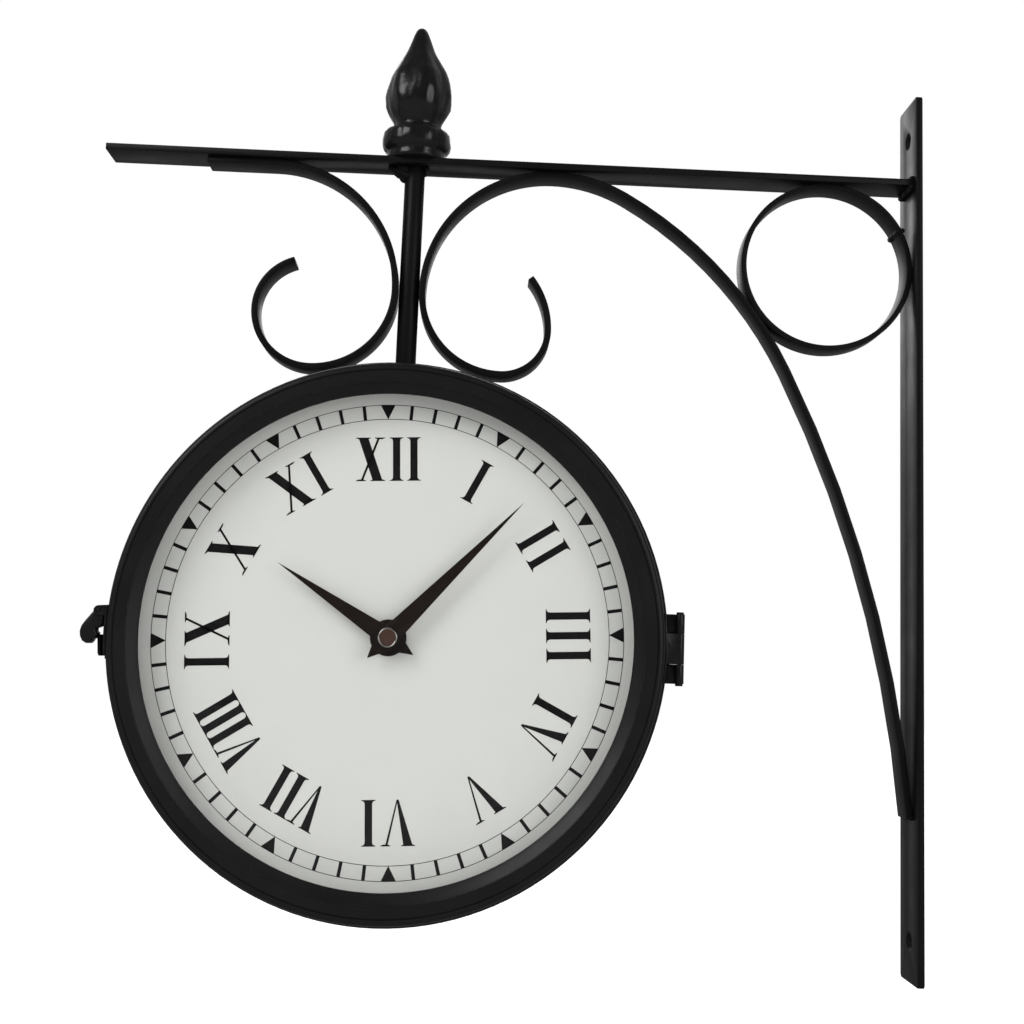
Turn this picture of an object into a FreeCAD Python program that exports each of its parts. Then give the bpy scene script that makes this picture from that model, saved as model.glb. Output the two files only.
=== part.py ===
import FreeCAD, Part
import math
import os
import re

import Sketcher
from FreeCAD import Placement, Rotation, Vector

# Double sided clock on an iron wall bracket.
# Frame: +Z up, +X into the wall, +Y away from the front dial. The origin is the centre of the
# line between the two screw holes, on the back face of the wall plate.
# "Out" is a distance along a dial's own axis, from the clock's middle plane towards the viewer.

# Sizes in millimetres. One that begins with = is worked out by the sheet from those above it.
SIZES = {
    # wall plate and arm, flat iron bar
    "plate_length": 408.0,
    "plate_width": 28.0,
    "bar_gauge": 3.0,
    "plate_corner": 2.0,
    "screw_hole": 5.0,
    "screw_sink": 8.6,
    "hole_inset": 18.0,
    "arm_drop": 40.0,
    "arm_width": 20.0,
    "arm_overhang": 145.0,
    "post_reach": 240.0,
    # post, tie rod and its nut
    "post_diameter": 9.5,
    "post_bore": 6.4,
    "rod_diameter": 6.0,
    "rod_clearance": 0.05,
    "rod_top": 20.0,
    "clamp_washer_diameter": 20.0,
    "clamp_washer_gauge": 1.6,
    "clamp_nut_flats": 10.0,
    "clamp_nut_height": 5.0,
    # scrolls, arch and ring, bent strip
    "strip_width": 14.0,
    "strip_gauge": 3.0,
    "ring_gauge": 2.5,
    "weld_gap": 0.1,
    "scroll_drop": 64.0,
    "scroll_turn": 38.0,
    "right_curl": 21.5,
    "right_tip": 40.0,
    "left_curl": 26.75,
    "left_tip": 24.7,
    "left_lead": 32.0,
    "arch_shoulder": 72.0,
    "arch_foot": "=plate_length - 111.5",
    # cast finial
    "finial_height": 68.0,
    "finial_width": 30.6,
    "finial_foot": 28.0,
    "foot_height": 7.2,
    "finial_collar": 32.6,
    "collar_height": 9.4,
    # case and dials
    "post_length": 103.0,
    "case_radius": 122.5,
    "dial_drop": "=post_length + case_radius",
    "case_half": 30.0,
    "case_gauge": 1.2,
    "lip_radius": "=case_radius - 6",
    "case_corner": 1.0,
    "dial_radius": "=case_radius - 7.5",
    "dial_back": "=case_half - 6.8",
    "dial_gauge": 0.8,
    "lug_width": 10.0,
    "lug_gauge": 1.0,
    "dial_screw_radius": "=dial_radius - 3.2",
    "dial_screw": 3.0,
    # glazed doors
    "door_radius": "=case_radius - 2.5",
    "door_front": "=case_half + 12",
    "door_gap": 0.4,
    "door_gauge": 1.0,
    "door_corner": 2.5,
    "door_opening": "=door_radius - 13.4",
    "door_face": "=door_radius - 8.6",
    "door_slope": 3.0,
    "glass_radius": "=door_opening + 3.9",
    "glass_gauge": 2.0,
    "glass_out": "=door_front - door_slope - glass_gauge - 1.4",
    "clip_width": 8.0,
    "clip_gauge": 0.8,
    # hinges
    "hinge_length": 30.2,
    "knuckle_length": 8.4,
    "knuckle_radius": 2.05,
    "hinge_pin": 2.0,
    "pin_clearance": 0.05,
    "pin_reach": "=case_radius + 4.9",
    "pin_out": "=case_half + 0.2",
    "leaf_gauge": 1.0,
    # latches
    "latch_rise": 16.0,
    "latch_pin": 1.6,
    "latch_width": 7.0,
    "latch_out": "=case_half + 2.4",
    # clock movements
    "movement_side": 56.0,
    "movement_back": "=dial_back - 17.5",
    "movement_joint": "=movement_back + 6.5",
    "movement_wall": 1.2,
    "bushing_diameter": 8.0,
    "bushing_out": "=dial_back + 4.4",
    "battery_diameter": 14.5,
    "battery_length": 49.2,
    "battery_drop": 17.3,
    "battery_out": "=movement_back + 8.75",
    "wheel_spacing": 9.6,
    "pinion_teeth": 12,
    "motion_teeth": 36,
    "hour_teeth": 48,
    "pipe_diameter": 5.0,
    "arbor_diameter": 3.2,
    "stem_diameter": 2.4,
    "stud_diameter": 1.5,
    "knob_diameter": 14.0,
    # hands and what holds them
    "minute_hand": 84.0,
    "minute_tail": 12.5,
    "hour_hand": 59.0,
    "hour_tail": 13.5,
    "hand_width": 9.0,
    "hand_gauge": 0.5,
    "hour_hand_out": "=bushing_out + 0.8",
    "minute_hand_out": "=hour_hand_out + 2.2",
    "arbor_out": "=minute_hand_out + 2.4",
    "cap_nut_diameter": 8.4,
    "dial_washer_diameter": 16.0,
    "washer_gauge": 0.8,
    "bushing_nut_flats": 11.0,
    "bushing_nut_height": 2.2,
}

MINUTE_ANGLE = 43.0
HOUR_ANGLE = 301.75
LATCH_TURN = -4.3

document = FreeCAD.newDocument("station_clock")
sheet = document.addObject("Spreadsheet::Sheet", "sizes")
for row, (alias, number) in enumerate(SIZES.items(), start=1):
    sheet.set(f"A{row}", alias)
    sheet.set(f"B{row}", str(number))
    sheet.setAlias(f"B{row}", alias)
document.recompute()

pieces = []


# ---------------------------------------------------------------- sizes and expressions

def amount(text):
    """A sum such as 'door_radius - door_gauge / 2', worked out in millimetres."""
    total = 0.0
    for sign, term in re.findall(r"([+-]?)\s*([a-z0-9_.]+(?:\s*[*/]\s*[a-z0-9_.]+)*)", str(text)):
        product = 1.0
        for operator, factor in re.findall(r"([*/]?)\s*([a-z0-9_.]+)", term):
            value = float(sheet.get(factor)) if factor[0].isalpha() else float(factor)
            product = product / value if operator == "/" else product * value
        total += -product if sign == "-" else product
    return total


def bound(text):
    """The same sum as an expression on the sheet's cells."""
    return re.sub(r"[a-z][a-z0-9_]*", r"sizes.\g<0>", str(text))


# ---------------------------------------------------------------- places

ARM_TOP = "plate_length / 2 - arm_drop"
DIAL_HEIGHT = "plate_length / 2 - arm_drop - dial_drop"


def place(piece, height=None, turn=0.0, hand=0.0):
    """Seats a piece: on the plate, or on the post's axis at a height, turned about the post."""
    spin = Rotation(Vector(0, 0, 1), turn) * Rotation(Vector(0, 1, 0), hand)
    if height is None:
        piece.Placement = Placement(Vector(0, 0, 0), spin)
    else:
        piece.Placement = Placement(Vector(-amount("post_reach"), 0, amount(height)), spin)
        piece.setExpression("Placement.Base.x", "-" + bound("post_reach"))
        piece.setExpression("Placement.Base.z", bound(height))
    pieces.append(piece)
    return piece


# ---------------------------------------------------------------- bodies, sketches and features

def new_body(label):
    body = document.addObject("PartDesign::Body", label)
    body.Label = label
    return body


def new_sketch(body, plane, lift):
    """A sketch on one of the body's own planes, moved along the plane's normal by lift."""
    sketch = body.newObject("Sketcher::SketchObject", body.Name + "_sketch")
    origin_planes = [item for item in body.Origin.OriginFeatures if item.Role == plane]
    sketch.AttachmentSupport = (origin_planes[0], [""])
    sketch.MapMode = "FlatFace"
    sketch.setExpression("AttachmentOffset.Base.z", bound(lift))
    return sketch


def draw_corners(sketch, corners):
    """A closed outline of straight edges. Each corner is a pair of sums, bound to the sheet."""
    spots = [Vector(amount(across), amount(up), 0) for across, up in corners]
    for here, there in zip(spots, spots[1:] + spots[:1]):
        sketch.addGeometry(Part.LineSegment(here, there), False)
    for number, corner in enumerate(corners):
        before = (number - 1) % len(corners)
        sketch.addConstraint(Sketcher.Constraint("Coincident", before, 2, number, 1))
        for kind, value in zip(("DistanceX", "DistanceY"), corner):
            size = Sketcher.Constraint(kind, -1, 1, number, 1, amount(value))
            index = sketch.addConstraint(size)
            sketch.setExpression(f"Constraints[{index}]", bound(value))


def draw_circles(sketch, circles):
    """Circles, each (across, up, diameter) as sums bound to the sheet."""
    for number, (across, up, diameter) in enumerate(circles):
        centre = Vector(amount(across), amount(up), 0)
        sketch.addGeometry(Part.Circle(centre, Vector(0, 0, 1), amount(diameter) / 2), False)
        for kind, value in (("DistanceX", across), ("DistanceY", up)):
            index = sketch.addConstraint(Sketcher.Constraint(kind, -1, 1, number, 3, amount(value)))
            sketch.setExpression(f"Constraints[{index}]", bound(value))
        index = sketch.addConstraint(Sketcher.Constraint("Diameter", number, amount(diameter)))
        sketch.setExpression(f"Constraints[{index}]", bound(diameter))


def grow(body, plane, low, high, corners=(), circles=()):
    """Pads an outline and circles between two heights over a plane."""
    sketch = new_sketch(body, plane, low)
    if corners:
        draw_corners(sketch, corners)
    draw_circles(sketch, circles)
    pad = body.newObject("PartDesign::Pad", body.Name + "_pad")
    pad.Profile = sketch
    pad.setExpression("Length", f"{bound(high)} - ({bound(low)})")
    document.recompute()
    return pad


def cut(body, plane, low, high, corners=(), circles=()):
    """Pockets an outline and circles between two heights over a plane, and checks that it cut."""
    before = body.Shape.Volume
    sketch = new_sketch(body, plane, high)
    if corners:
        draw_corners(sketch, corners)
    draw_circles(sketch, circles)
    pocket = body.newObject("PartDesign::Pocket", body.Name + "_pocket")
    pocket.Profile = sketch
    pocket.setExpression("Length", f"{bound(high)} - ({bound(low)})")
    document.recompute()
    if body.Shape.Volume > before - 1e-6:
        raise RuntimeError(body.Label + ": a pocket cut nothing")
    return pocket


def rectangle(width, low, high):
    """Corners of an upright rectangle, centred across."""
    return [
        (f"0 - {width} / 2", low),
        (f"{width} / 2", low),
        (f"{width} / 2", high),
        (f"0 - {width} / 2", high),
    ]


def turned(label, corners, plane="XY_Plane"):
    """A body turned about the plane's upright axis. Over XY_Plane that is the dial's axis, and
    the corners are (radius, -out); over XZ_Plane it is the post's axis, with (radius, height)."""
    body = new_body(label)
    sketch = new_sketch(body, plane, "0")
    draw_corners(sketch, corners)
    turn = body.newObject("PartDesign::Revolution", label + "_turn")
    turn.Profile = sketch
    turn.ReferenceAxis = (sketch, ["V_Axis"])
    turn.Angle = 360.0
    document.recompute()
    return body


def about_dial(label, corners):
    """A body turned about the dial's axis, from corners (radius, out)."""
    backwards = [(radius, negative(out)) for radius, out in corners]
    return turned(label, backwards)


def negative(text):
    """The sum with every sign changed."""
    flipped = str(text).translate(str.maketrans("+-", "-+"))
    return "0 - " + flipped if not flipped.strip().startswith(("-", "+")) else "0 " + flipped


def dress_edges(body, kind, names, field, size):
    """Rounds (Fillet, Radius) or bevels (Chamfer, Size) the named edges of a body so far."""
    if not names:
        raise RuntimeError(body.Label + ": no edges to dress")
    so_far = body.Tip
    dress = body.newObject("PartDesign::" + kind, body.Name + "_" + kind.lower())
    dress.Base = (so_far, names)
    dress.setExpression(field, size)
    document.recompute()


def shaped(label, shape):
    """A piece whose solid is worked out below with the sheet's values."""
    piece = document.addObject("Part::Feature", label)
    piece.Label = label
    piece.Shape = shape
    return piece


# ---------------------------------------------------------------- plain solids about an axis

def rod_out(radius, low, high, across=0.0, up=0.0):
    """A cylinder along a dial's axis, between two distances out."""
    return Part.makeCylinder(radius, high - low, Vector(across, -low, up), Vector(0, -1, 0))


def rod_up(radius, low, high, across=0.0, out=0.0):
    return Part.makeCylinder(radius, high - low, Vector(across, -out, low), Vector(0, 0, 1))


def block(across, out, up):
    """A box from three (low, high) pairs."""
    corner = Vector(across[0], -out[1], up[0])
    return Part.makeBox(across[1] - across[0], out[1] - out[0], up[1] - up[0], corner)


def bar_out(outline, low, high):
    """A solid with an upright outline of (across, up) points, between two distances out."""
    points = [Vector(across, -low, up) for across, up in outline]
    face = Part.Face(Part.makePolygon(points + points[:1]))
    return face.extrude(Vector(0, low - high, 0))


def hex_prism(flats, low, high, bore, upright):
    """A hexagon nut about the post's axis if upright, else about the dial's axis."""
    reach = flats / math.sqrt(3)
    corners = [(reach * math.cos(math.radians(60 * side)), reach * math.sin(math.radians(60 * side)))
               for side in range(6)]
    if upright:
        points = [Vector(across, up, low) for across, up in corners]
        solid = Part.Face(Part.makePolygon(points + points[:1])).extrude(Vector(0, 0, high - low))
        return solid.cut(rod_up(bore, low - 1, high + 1))
    return bar_out(corners, low, high).cut(rod_out(bore, low - 1, high + 1))


# ---------------------------------------------------------------- wall plate and arm

def make_wall_plate():
    """Flat bar against the wall, with a countersunk screw hole near each end."""
    plate = new_body("wall_plate")
    half = "plate_length / 2"
    grow(plate, "YZ_Plane", "0 - bar_gauge", "0", rectangle("plate_width", "0 - " + half, half))
    corners = [f"Edge{number}" for number, edge in enumerate(plate.Shape.Edges, start=1)
               if abs(edge.Length - amount("bar_gauge")) < 0.01]
    dress_edges(plate, "Fillet", corners, "Radius", bound("plate_corner"))
    rise = "plate_length / 2 - hole_inset"
    holes = [("0", rise, "screw_hole"), ("0", negative(rise), "screw_hole")]
    cut(plate, "YZ_Plane", "0 - bar_gauge", "0", circles=holes)
    rims = [f"Edge{number}" for number, edge in enumerate(plate.Shape.Edges, start=1)
            if isinstance(edge.Curve, Part.Circle)
            and abs(edge.Curve.Radius - amount("screw_hole / 2")) < 0.01
            and abs(edge.Curve.Center.x + amount("bar_gauge")) < 0.01]
    bevel = f"({bound('screw_sink')} - {bound('screw_hole')}) / 2"
    dress_edges(plate, "Chamfer", rims, "Size", bevel)
    place(plate)


def make_arm():
    """Flat bar with its broad faces level, from the plate past the post to a square cut end."""
    arm = new_body("arm")
    near = "0 - arm_overhang"
    far = "post_reach - bar_gauge"
    half = "arm_width / 2"
    outline = [(near, "0 - " + half), (far, "0 - " + half), (far, half), (near, half)]
    grow(arm, "XY_Plane", "0 - bar_gauge", "0", outline)
    hole = [("0", "0", "rod_diameter + 2 * rod_clearance")]
    cut(arm, "XY_Plane", "0 - bar_gauge", "0", circles=hole)
    place(arm, ARM_TOP)


# ---------------------------------------------------------------- bent strips

def bend_edges(start, heading, bends, shift):
    """Edges of one face of a strip bent in the upright plane, shift to the left of its middle.
    A bend is (radius, degrees), left turns positive, or (length, 0) for a straight run."""
    edges = []
    spot = start
    for radius, degrees in bends:
        left = Vector(-math.sin(math.radians(heading)), 0, math.cos(math.radians(heading)))
        if degrees == 0:
            along = Vector(left.z, 0, -left.x)
            beyond = spot + along * radius
            edges.append(Part.LineSegment(spot + left * shift, beyond + left * shift).toShape())
            spot = beyond
            continue
        side = 1 if degrees > 0 else -1
        centre = spot + left * (side * radius)
        spokes = []
        for part in (0.0, 0.5, 1.0):
            turned_by = math.radians(heading + degrees * part)
            spokes.append(Vector(math.sin(turned_by), 0, -math.cos(turned_by)) * side)
        arc = [centre + spoke * (radius - side * shift) for spoke in spokes]
        edges.append(Part.Arc(*arc).toShape())
        spot = centre + spokes[2] * radius
        heading += degrees
    return edges


def strip_solid(runs, gauge, width):
    """One strip made of runs that share their start: (start, heading, bends) for each."""
    edges = []
    for start, heading, bends in runs:
        left_side = bend_edges(start, heading, bends, gauge / 2)
        right_side = bend_edges(start, heading, bends, -gauge / 2)
        ends = [side[-1].lastVertex(True).Point for side in (left_side, right_side)]
        edges += left_side + right_side + [Part.LineSegment(*ends).toShape()]
    if len(runs) == 1:
        starts = [side[0].firstVertex(True).Point for side in (left_side, right_side)]
        edges.append(Part.LineSegment(*starts).toShape())
    face = Part.Face(Part.Wire(Part.__sortEdges__(edges)))
    face.translate(Vector(0, -width / 2, 0))
    return face.extrude(Vector(0, width, 0))


def scroll_sizes():
    """Middle height of a strip that touches the arm, and the radius that also meets the post."""
    under_arm = -amount("bar_gauge + weld_gap + strip_gauge / 2")
    beside_post = amount("post_diameter / 2 + weld_gap + strip_gauge / 2")
    return under_arm, beside_post, amount("scroll_drop") + under_arm


def arch_bends(run, fall):
    """Three arcs that grow flatter, level at the arm and 85 degrees down at the wall plate.
    The shoulder's radius is given; the other two reach the foot."""
    headings = [math.radians(angle) for angle in (0.0, 29.0, 63.3, 85.0)]
    runs = [math.sin(end) - math.sin(begin) for begin, end in zip(headings, headings[1:])]
    falls = [math.cos(begin) - math.cos(end) for begin, end in zip(headings, headings[1:])]
    shoulder = amount("arch_shoulder")
    run_left = run - shoulder * runs[0]
    fall_left = fall - shoulder * falls[0]
    spread = runs[1] * falls[2] - runs[2] * falls[1]
    middle = (run_left * falls[2] - runs[2] * fall_left) / spread
    foot = (runs[1] * fall_left - run_left * falls[1]) / spread
    turns = [math.degrees(begin - end) for begin, end in zip(headings, headings[1:])]
    return list(zip((shoulder, middle, foot), turns))


def make_scrolls():
    """The left scroll; and the right scroll, which runs on under the arm as the arch."""
    under_arm, beside_post, crown = scroll_sizes()
    gauge = amount("strip_gauge")
    width = amount("strip_width")
    turn = amount("scroll_turn")
    lead = amount("left_lead")
    left_start = Vector(-beside_post - crown - lead, 0, under_arm)
    left_bends = [(lead, 0), (crown, -90), (turn, -90), (amount("left_curl"), -90),
                  (amount("left_tip"), -73)]
    place(shaped("left_scroll", strip_solid([(left_start, 0, left_bends)], gauge, width)), ARM_TOP)

    top = Vector(beside_post + crown, 0, under_arm)
    curl = [(crown, 90), (turn, 90), (amount("right_curl"), 90), (amount("right_tip"), 39)]
    lean = math.radians(5.0)
    foot_reach = amount("post_reach - bar_gauge - weld_gap") - gauge / 2 * math.cos(lean)
    arch = arch_bends(foot_reach - top.x, amount("arch_foot") + under_arm)
    solid = strip_solid([(top, 180, curl), (top, 0, arch)], gauge, width)
    place(shaped("right_scroll_arch", solid), ARM_TOP)
    return Part.Wire(bend_edges(top, 0, arch, 0.0))


def make_brace_ring(arch):
    """A ring in the corner that touches the arm, the wall plate and the arch."""
    gap = amount("weld_gap")
    low, high = 10.0, amount("scroll_drop")
    for _ in range(40):
        radius = (low + high) / 2
        centre = Vector(amount("post_reach - bar_gauge") - gap - radius, 0,
                        -amount("bar_gauge") - gap - radius)
        room = arch.distToShape(Part.Vertex(centre))[0] - amount("strip_gauge / 2") - gap
        low, high = (radius, high) if room > radius else (low, radius)
    half = amount("strip_width / 2")
    outer = rod_out(radius, -half, half, centre.x, centre.z)
    inner = rod_out(radius - amount("ring_gauge"), -half, half, centre.x, centre.z)
    place(shaped("brace_ring", outer.cut(inner)), ARM_TOP)


# ---------------------------------------------------------------- post, rod and finial

def make_post_and_rod():
    """A tube between the arm and the case, and a threaded rod through it. The rod is screwed into
    the finial and clamps the case from inside, where the head turns on it."""
    foot = "case_radius - dial_drop + weld_gap"
    bore = "post_bore / 2"
    wall = "post_diameter / 2"
    head = "0 - bar_gauge"
    place(turned("post", [(bore, foot), (wall, foot), (wall, head), (bore, head)], "XZ_Plane"),
          ARM_TOP)

    inside = amount("case_radius - case_gauge")
    sagitta = inside - math.sqrt(inside ** 2 - amount("clamp_washer_diameter / 2") ** 2)
    washer_top = inside - sagitta - amount("rod_clearance")
    nut_top = washer_top - amount("clamp_washer_gauge")
    nut_foot = nut_top - amount("clamp_nut_height")
    bore_radius = amount("rod_diameter / 2 + rod_clearance")
    washer = rod_up(amount("clamp_washer_diameter / 2"), nut_top, washer_top)
    washer = washer.cut(rod_up(bore_radius, nut_top - 1, washer_top + 1))
    place(shaped("clamp_washer", washer), DIAL_HEIGHT)
    nut = hex_prism(amount("clamp_nut_flats"), nut_foot, nut_top, bore_radius, upright=True)
    place(shaped("clamp_nut", nut), DIAL_HEIGHT)

    rod_foot = nut_foot - amount("rod_diameter / 4") - amount("dial_drop")
    rod = rod_up(amount("rod_diameter / 2"), rod_foot, amount("rod_top"))
    place(shaped("tie_rod", rod), ARM_TOP)


def make_finial():
    """Cast iron bud on a collar with a full round rim and a waisted foot, bored for the rod."""
    height = amount("finial_height")
    half = amount("finial_width / 2")
    foot = amount("finial_foot / 2")
    foot_height = amount("foot_height")
    collar = amount("finial_collar / 2")
    edge = amount("collar_height / 2")
    collar_top = amount("foot_height + collar_height")

    def spot(reach, share):
        return Vector(half * reach, 0, collar_top + (height - collar_top) * share)

    neck = spot(0.70, 0.0)
    tip = spot(0.05, 1.0)
    crown = Vector(0, 0, height)
    curves = [
        Part.LineSegment(Vector(0, 0, 0), Vector(foot, 0, 0)),
        Part.Arc(Vector(foot, 0, 0), Vector(foot - 1.2, 0, foot_height * 0.6),
                 Vector(collar - edge, 0, foot_height)),
        Part.Arc(Vector(collar - edge, 0, foot_height), Vector(collar, 0, foot_height + edge),
                 Vector(collar - edge, 0, collar_top)),
        Part.LineSegment(Vector(collar - edge, 0, collar_top), neck),
        Part.Arc(neck, spot(0.93, 0.175), spot(1.0, 0.32)),
        Part.Arc(spot(1.0, 0.32), spot(0.87, 0.53), spot(0.64, 0.66)),
        Part.Arc(spot(0.64, 0.66), spot(0.42, 0.79), spot(0.28, 0.91)),
        Part.Arc(spot(0.28, 0.91), spot(0.18, 0.98), tip),
        Part.LineSegment(tip, crown),
        Part.LineSegment(crown, Vector(0, 0, 0)),
    ]
    face = Part.Face(Part.Wire([curve.toShape() for curve in curves]))
    finial = face.revolve(Vector(0, 0, 0), Vector(0, 0, 1), 360)
    bore = rod_up(amount("rod_diameter / 2 + rod_clearance"), -1, amount("rod_top") + 0.5)
    place(shaped("finial", finial.cut(bore)), ARM_TOP)


# ---------------------------------------------------------------- case, dials and their lugs

def make_case_band():
    """Rolled steel band with a lip turned in at each end and a hole for the rod at the top."""
    inner = "case_radius - case_gauge"
    inside = "case_half - case_gauge"
    shoulder = "case_half - case_corner"
    rim = "case_radius - case_corner"
    front = [("case_radius", shoulder), (rim, "case_half"), ("lip_radius", "case_half"),
             ("lip_radius", inside), (inner, inside)]
    rear = [(radius, negative(out)) for radius, out in reversed(front)]
    band = about_dial("case_band", front + rear)
    hole = [("0", "0", "rod_diameter + 2 * rod_clearance")]
    cut(band, "XY_Plane", "case_radius - 4 * case_gauge", "case_radius + 1", circles=hole)
    place(band, DIAL_HEIGHT)


def lug_holes(diameter):
    """Four screws on the diagonals of a dial, as (across, up, diameter) sums."""
    quarter = "dial_screw_radius * 0.70711"
    return [(sign_x + quarter, sign_z + quarter, diameter)
            for sign_x in ("", "0 - ") for sign_z in ("", "0 - ")]


def make_dial(side, turn):
    """A printed steel dial on four bent lugs, which are welded inside the case."""
    half = amount("lug_width / 2")
    back = amount("dial_back")
    gauge = amount("lug_gauge")
    reach = math.sqrt(amount("case_radius - case_gauge") ** 2 - half ** 2) - 0.02
    screw = amount("dial_screw_radius")
    hole = rod_out(amount("dial_screw / 2 + rod_clearance"), back - gauge - 1, back + 1, screw, 0)
    lug = block((screw - 4.5, reach), (back - gauge, back), (-half, half))
    lug = lug.fuse(block((reach - gauge, reach), (back - 9.0, back), (-half, half)))
    lug = lug.cut(hole).removeSplitter()
    lugs = []
    for corner in range(4):
        turned_lug = lug.copy()
        turned_lug.rotate(Vector(0, 0, 0), Vector(0, -1, 0), 45 + 90 * corner)
        lugs.append(turned_lug)
    place(shaped(side + "_dial_lugs", Part.makeCompound(lugs)), DIAL_HEIGHT, turn)

    dial = new_body(side + "_dial")
    centre = ("0", "0", "bushing_diameter + 2 * rod_clearance")
    front = "dial_back + dial_gauge"
    grow(dial, "XZ_Plane", "dial_back", front, circles=[("0", "0", "2 * dial_radius")])
    holes = lug_holes("dial_screw + 2 * rod_clearance")
    cut(dial, "XZ_Plane", "dial_back", front, circles=holes + [centre])
    place(dial, DIAL_HEIGHT, turn)


def make_dial_screws():
    """Four pan head screws for each dial."""
    front = amount("dial_back + dial_gauge")
    radius = amount("dial_screw / 2")
    screws = []
    for turn in (0, 180):
        for across, up, _ in lug_holes("dial_screw"):
            spot = (amount(across), amount(up))
            shank = rod_out(radius, front - 5.0, front, *spot)
            head = rod_out(radius * 1.8, front, front + radius, *spot)
            screw = shank.fuse(head).removeSplitter()
            screw.rotate(Vector(0, 0, 0), Vector(0, 0, 1), turn)
            screws.append(screw)
    place(shaped("dial_screws", Part.makeCompound(screws)), DIAL_HEIGHT)


# ---------------------------------------------------------------- glazed doors

def make_door(side, turn):
    """A pressed steel bezel, its glass and the four bent clips that hold the glass from behind."""
    edge = "case_half + door_gap"
    glass_front = "glass_out + glass_gauge"
    inner_edge = "door_radius - door_gauge"
    face_back = "door_front - door_gauge"
    slope_foot = "door_front - door_slope"
    lip = "door_opening + door_gauge"
    bezel = about_dial(side + "_bezel", [
        ("door_radius", edge), ("door_radius", "door_front - door_corner"),
        ("door_radius - door_corner", "door_front"), ("door_face", "door_front"),
        ("door_opening", slope_foot), ("door_opening", glass_front),
        (lip, glass_front), (lip, slope_foot + " - door_gauge / 2"),
        ("door_face + door_gauge / 4", face_back),
        ("door_radius - door_corner - door_gauge / 2", face_back),
        (inner_edge, "door_front - door_corner - door_gauge / 2"), (inner_edge, edge)])
    place(bezel, DIAL_HEIGHT, turn)

    glass = new_body(side + "_glass")
    grow(glass, "XZ_Plane", "glass_out", glass_front, circles=[("0", "0", "2 * glass_radius")])
    place(glass, DIAL_HEIGHT, turn)

    half = amount("clip_width / 2")
    gauge = amount("clip_gauge")
    reach = math.sqrt(amount(inner_edge) ** 2 - half ** 2) - 0.02
    back = amount("glass_out")
    clip = block((amount("door_opening + door_gauge"), reach), (back - gauge, back), (-half, half))
    foot = block((reach - gauge, reach), (amount(edge) + 0.8, back), (-half, half))
    clip = clip.fuse(foot).removeSplitter()
    clips = []
    for corner in range(4):
        turned_clip = clip.copy()
        turned_clip.rotate(Vector(0, 0, 0), Vector(0, -1, 0), 45 + 90 * corner)
        clips.append(turned_clip)
    place(shaped(side + "_glass_clips", Part.makeCompound(clips)), DIAL_HEIGHT, turn)


def curved_leaf(inner, out, up, gauge, hand):
    """A plate bent to the curve of the case or the door, on the +X side (hand 1) or -X (-1)."""
    ring = rod_out(inner + gauge, out[0], out[1]).cut(rod_out(inner, out[0], out[1]))
    reach = sorted((0, hand * (inner + gauge + 1)))
    return ring.common(block(reach, out, up))


def make_hinge(side, turn):
    """A butt hinge with an upright pin: two knuckles on the case leaf, one on the door leaf."""
    half = amount("hinge_length / 2")
    knuckle = amount("knuckle_length")
    radius = amount("knuckle_radius")
    gauge = amount("leaf_gauge")
    reach = amount("pin_reach")
    out = amount("pin_out")
    gap = amount("pin_clearance")
    pin_radius = amount("hinge_pin / 2")
    bore = rod_up(pin_radius + gap, -half - 2, half + 2, reach, out)
    middle = (-half + knuckle + gap, half - knuckle - gap)
    ends = [(-half, -half + knuckle), (half - knuckle, half)]

    case_radius = amount("case_radius")
    web_out = (out - radius, out - radius + gauge)
    leaf = curved_leaf(case_radius, (out - 15.0, web_out[1]), (-half, half), gauge, 1)
    for span in ends:
        web = block((case_radius - 2, reach), web_out, span)
        leaf = leaf.fuse([web.cut(rod_out(case_radius, 0, out)), rod_up(radius, *span, reach, out)])
    leaf = leaf.cut(bore).removeSplitter()
    place(shaped(side + "_hinge_case_leaf", leaf), DIAL_HEIGHT, turn)

    door_radius = amount("door_radius")
    web_out = (out + radius - gauge, out + radius)
    leaf = curved_leaf(door_radius, (web_out[0], out + 9.0), (-half, half), gauge, 1)
    web = block((door_radius - 2, reach), web_out, middle).cut(rod_out(door_radius, 0, 2 * out))
    leaf = leaf.fuse([web, rod_up(radius, *middle, reach, out)]).cut(bore).removeSplitter()
    place(shaped(side + "_hinge_door_leaf", leaf), DIAL_HEIGHT, turn)

    pin = rod_up(pin_radius, -half, half, reach, out)
    heads = [rod_up(radius * 0.8, half, half + 0.9, reach, out),
             rod_up(radius * 0.8, -half - 0.9, -half, reach, out)]
    pin = pin.fuse(heads).removeSplitter()
    place(shaped(side + "_hinge_pin", pin), DIAL_HEIGHT, turn)


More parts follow.
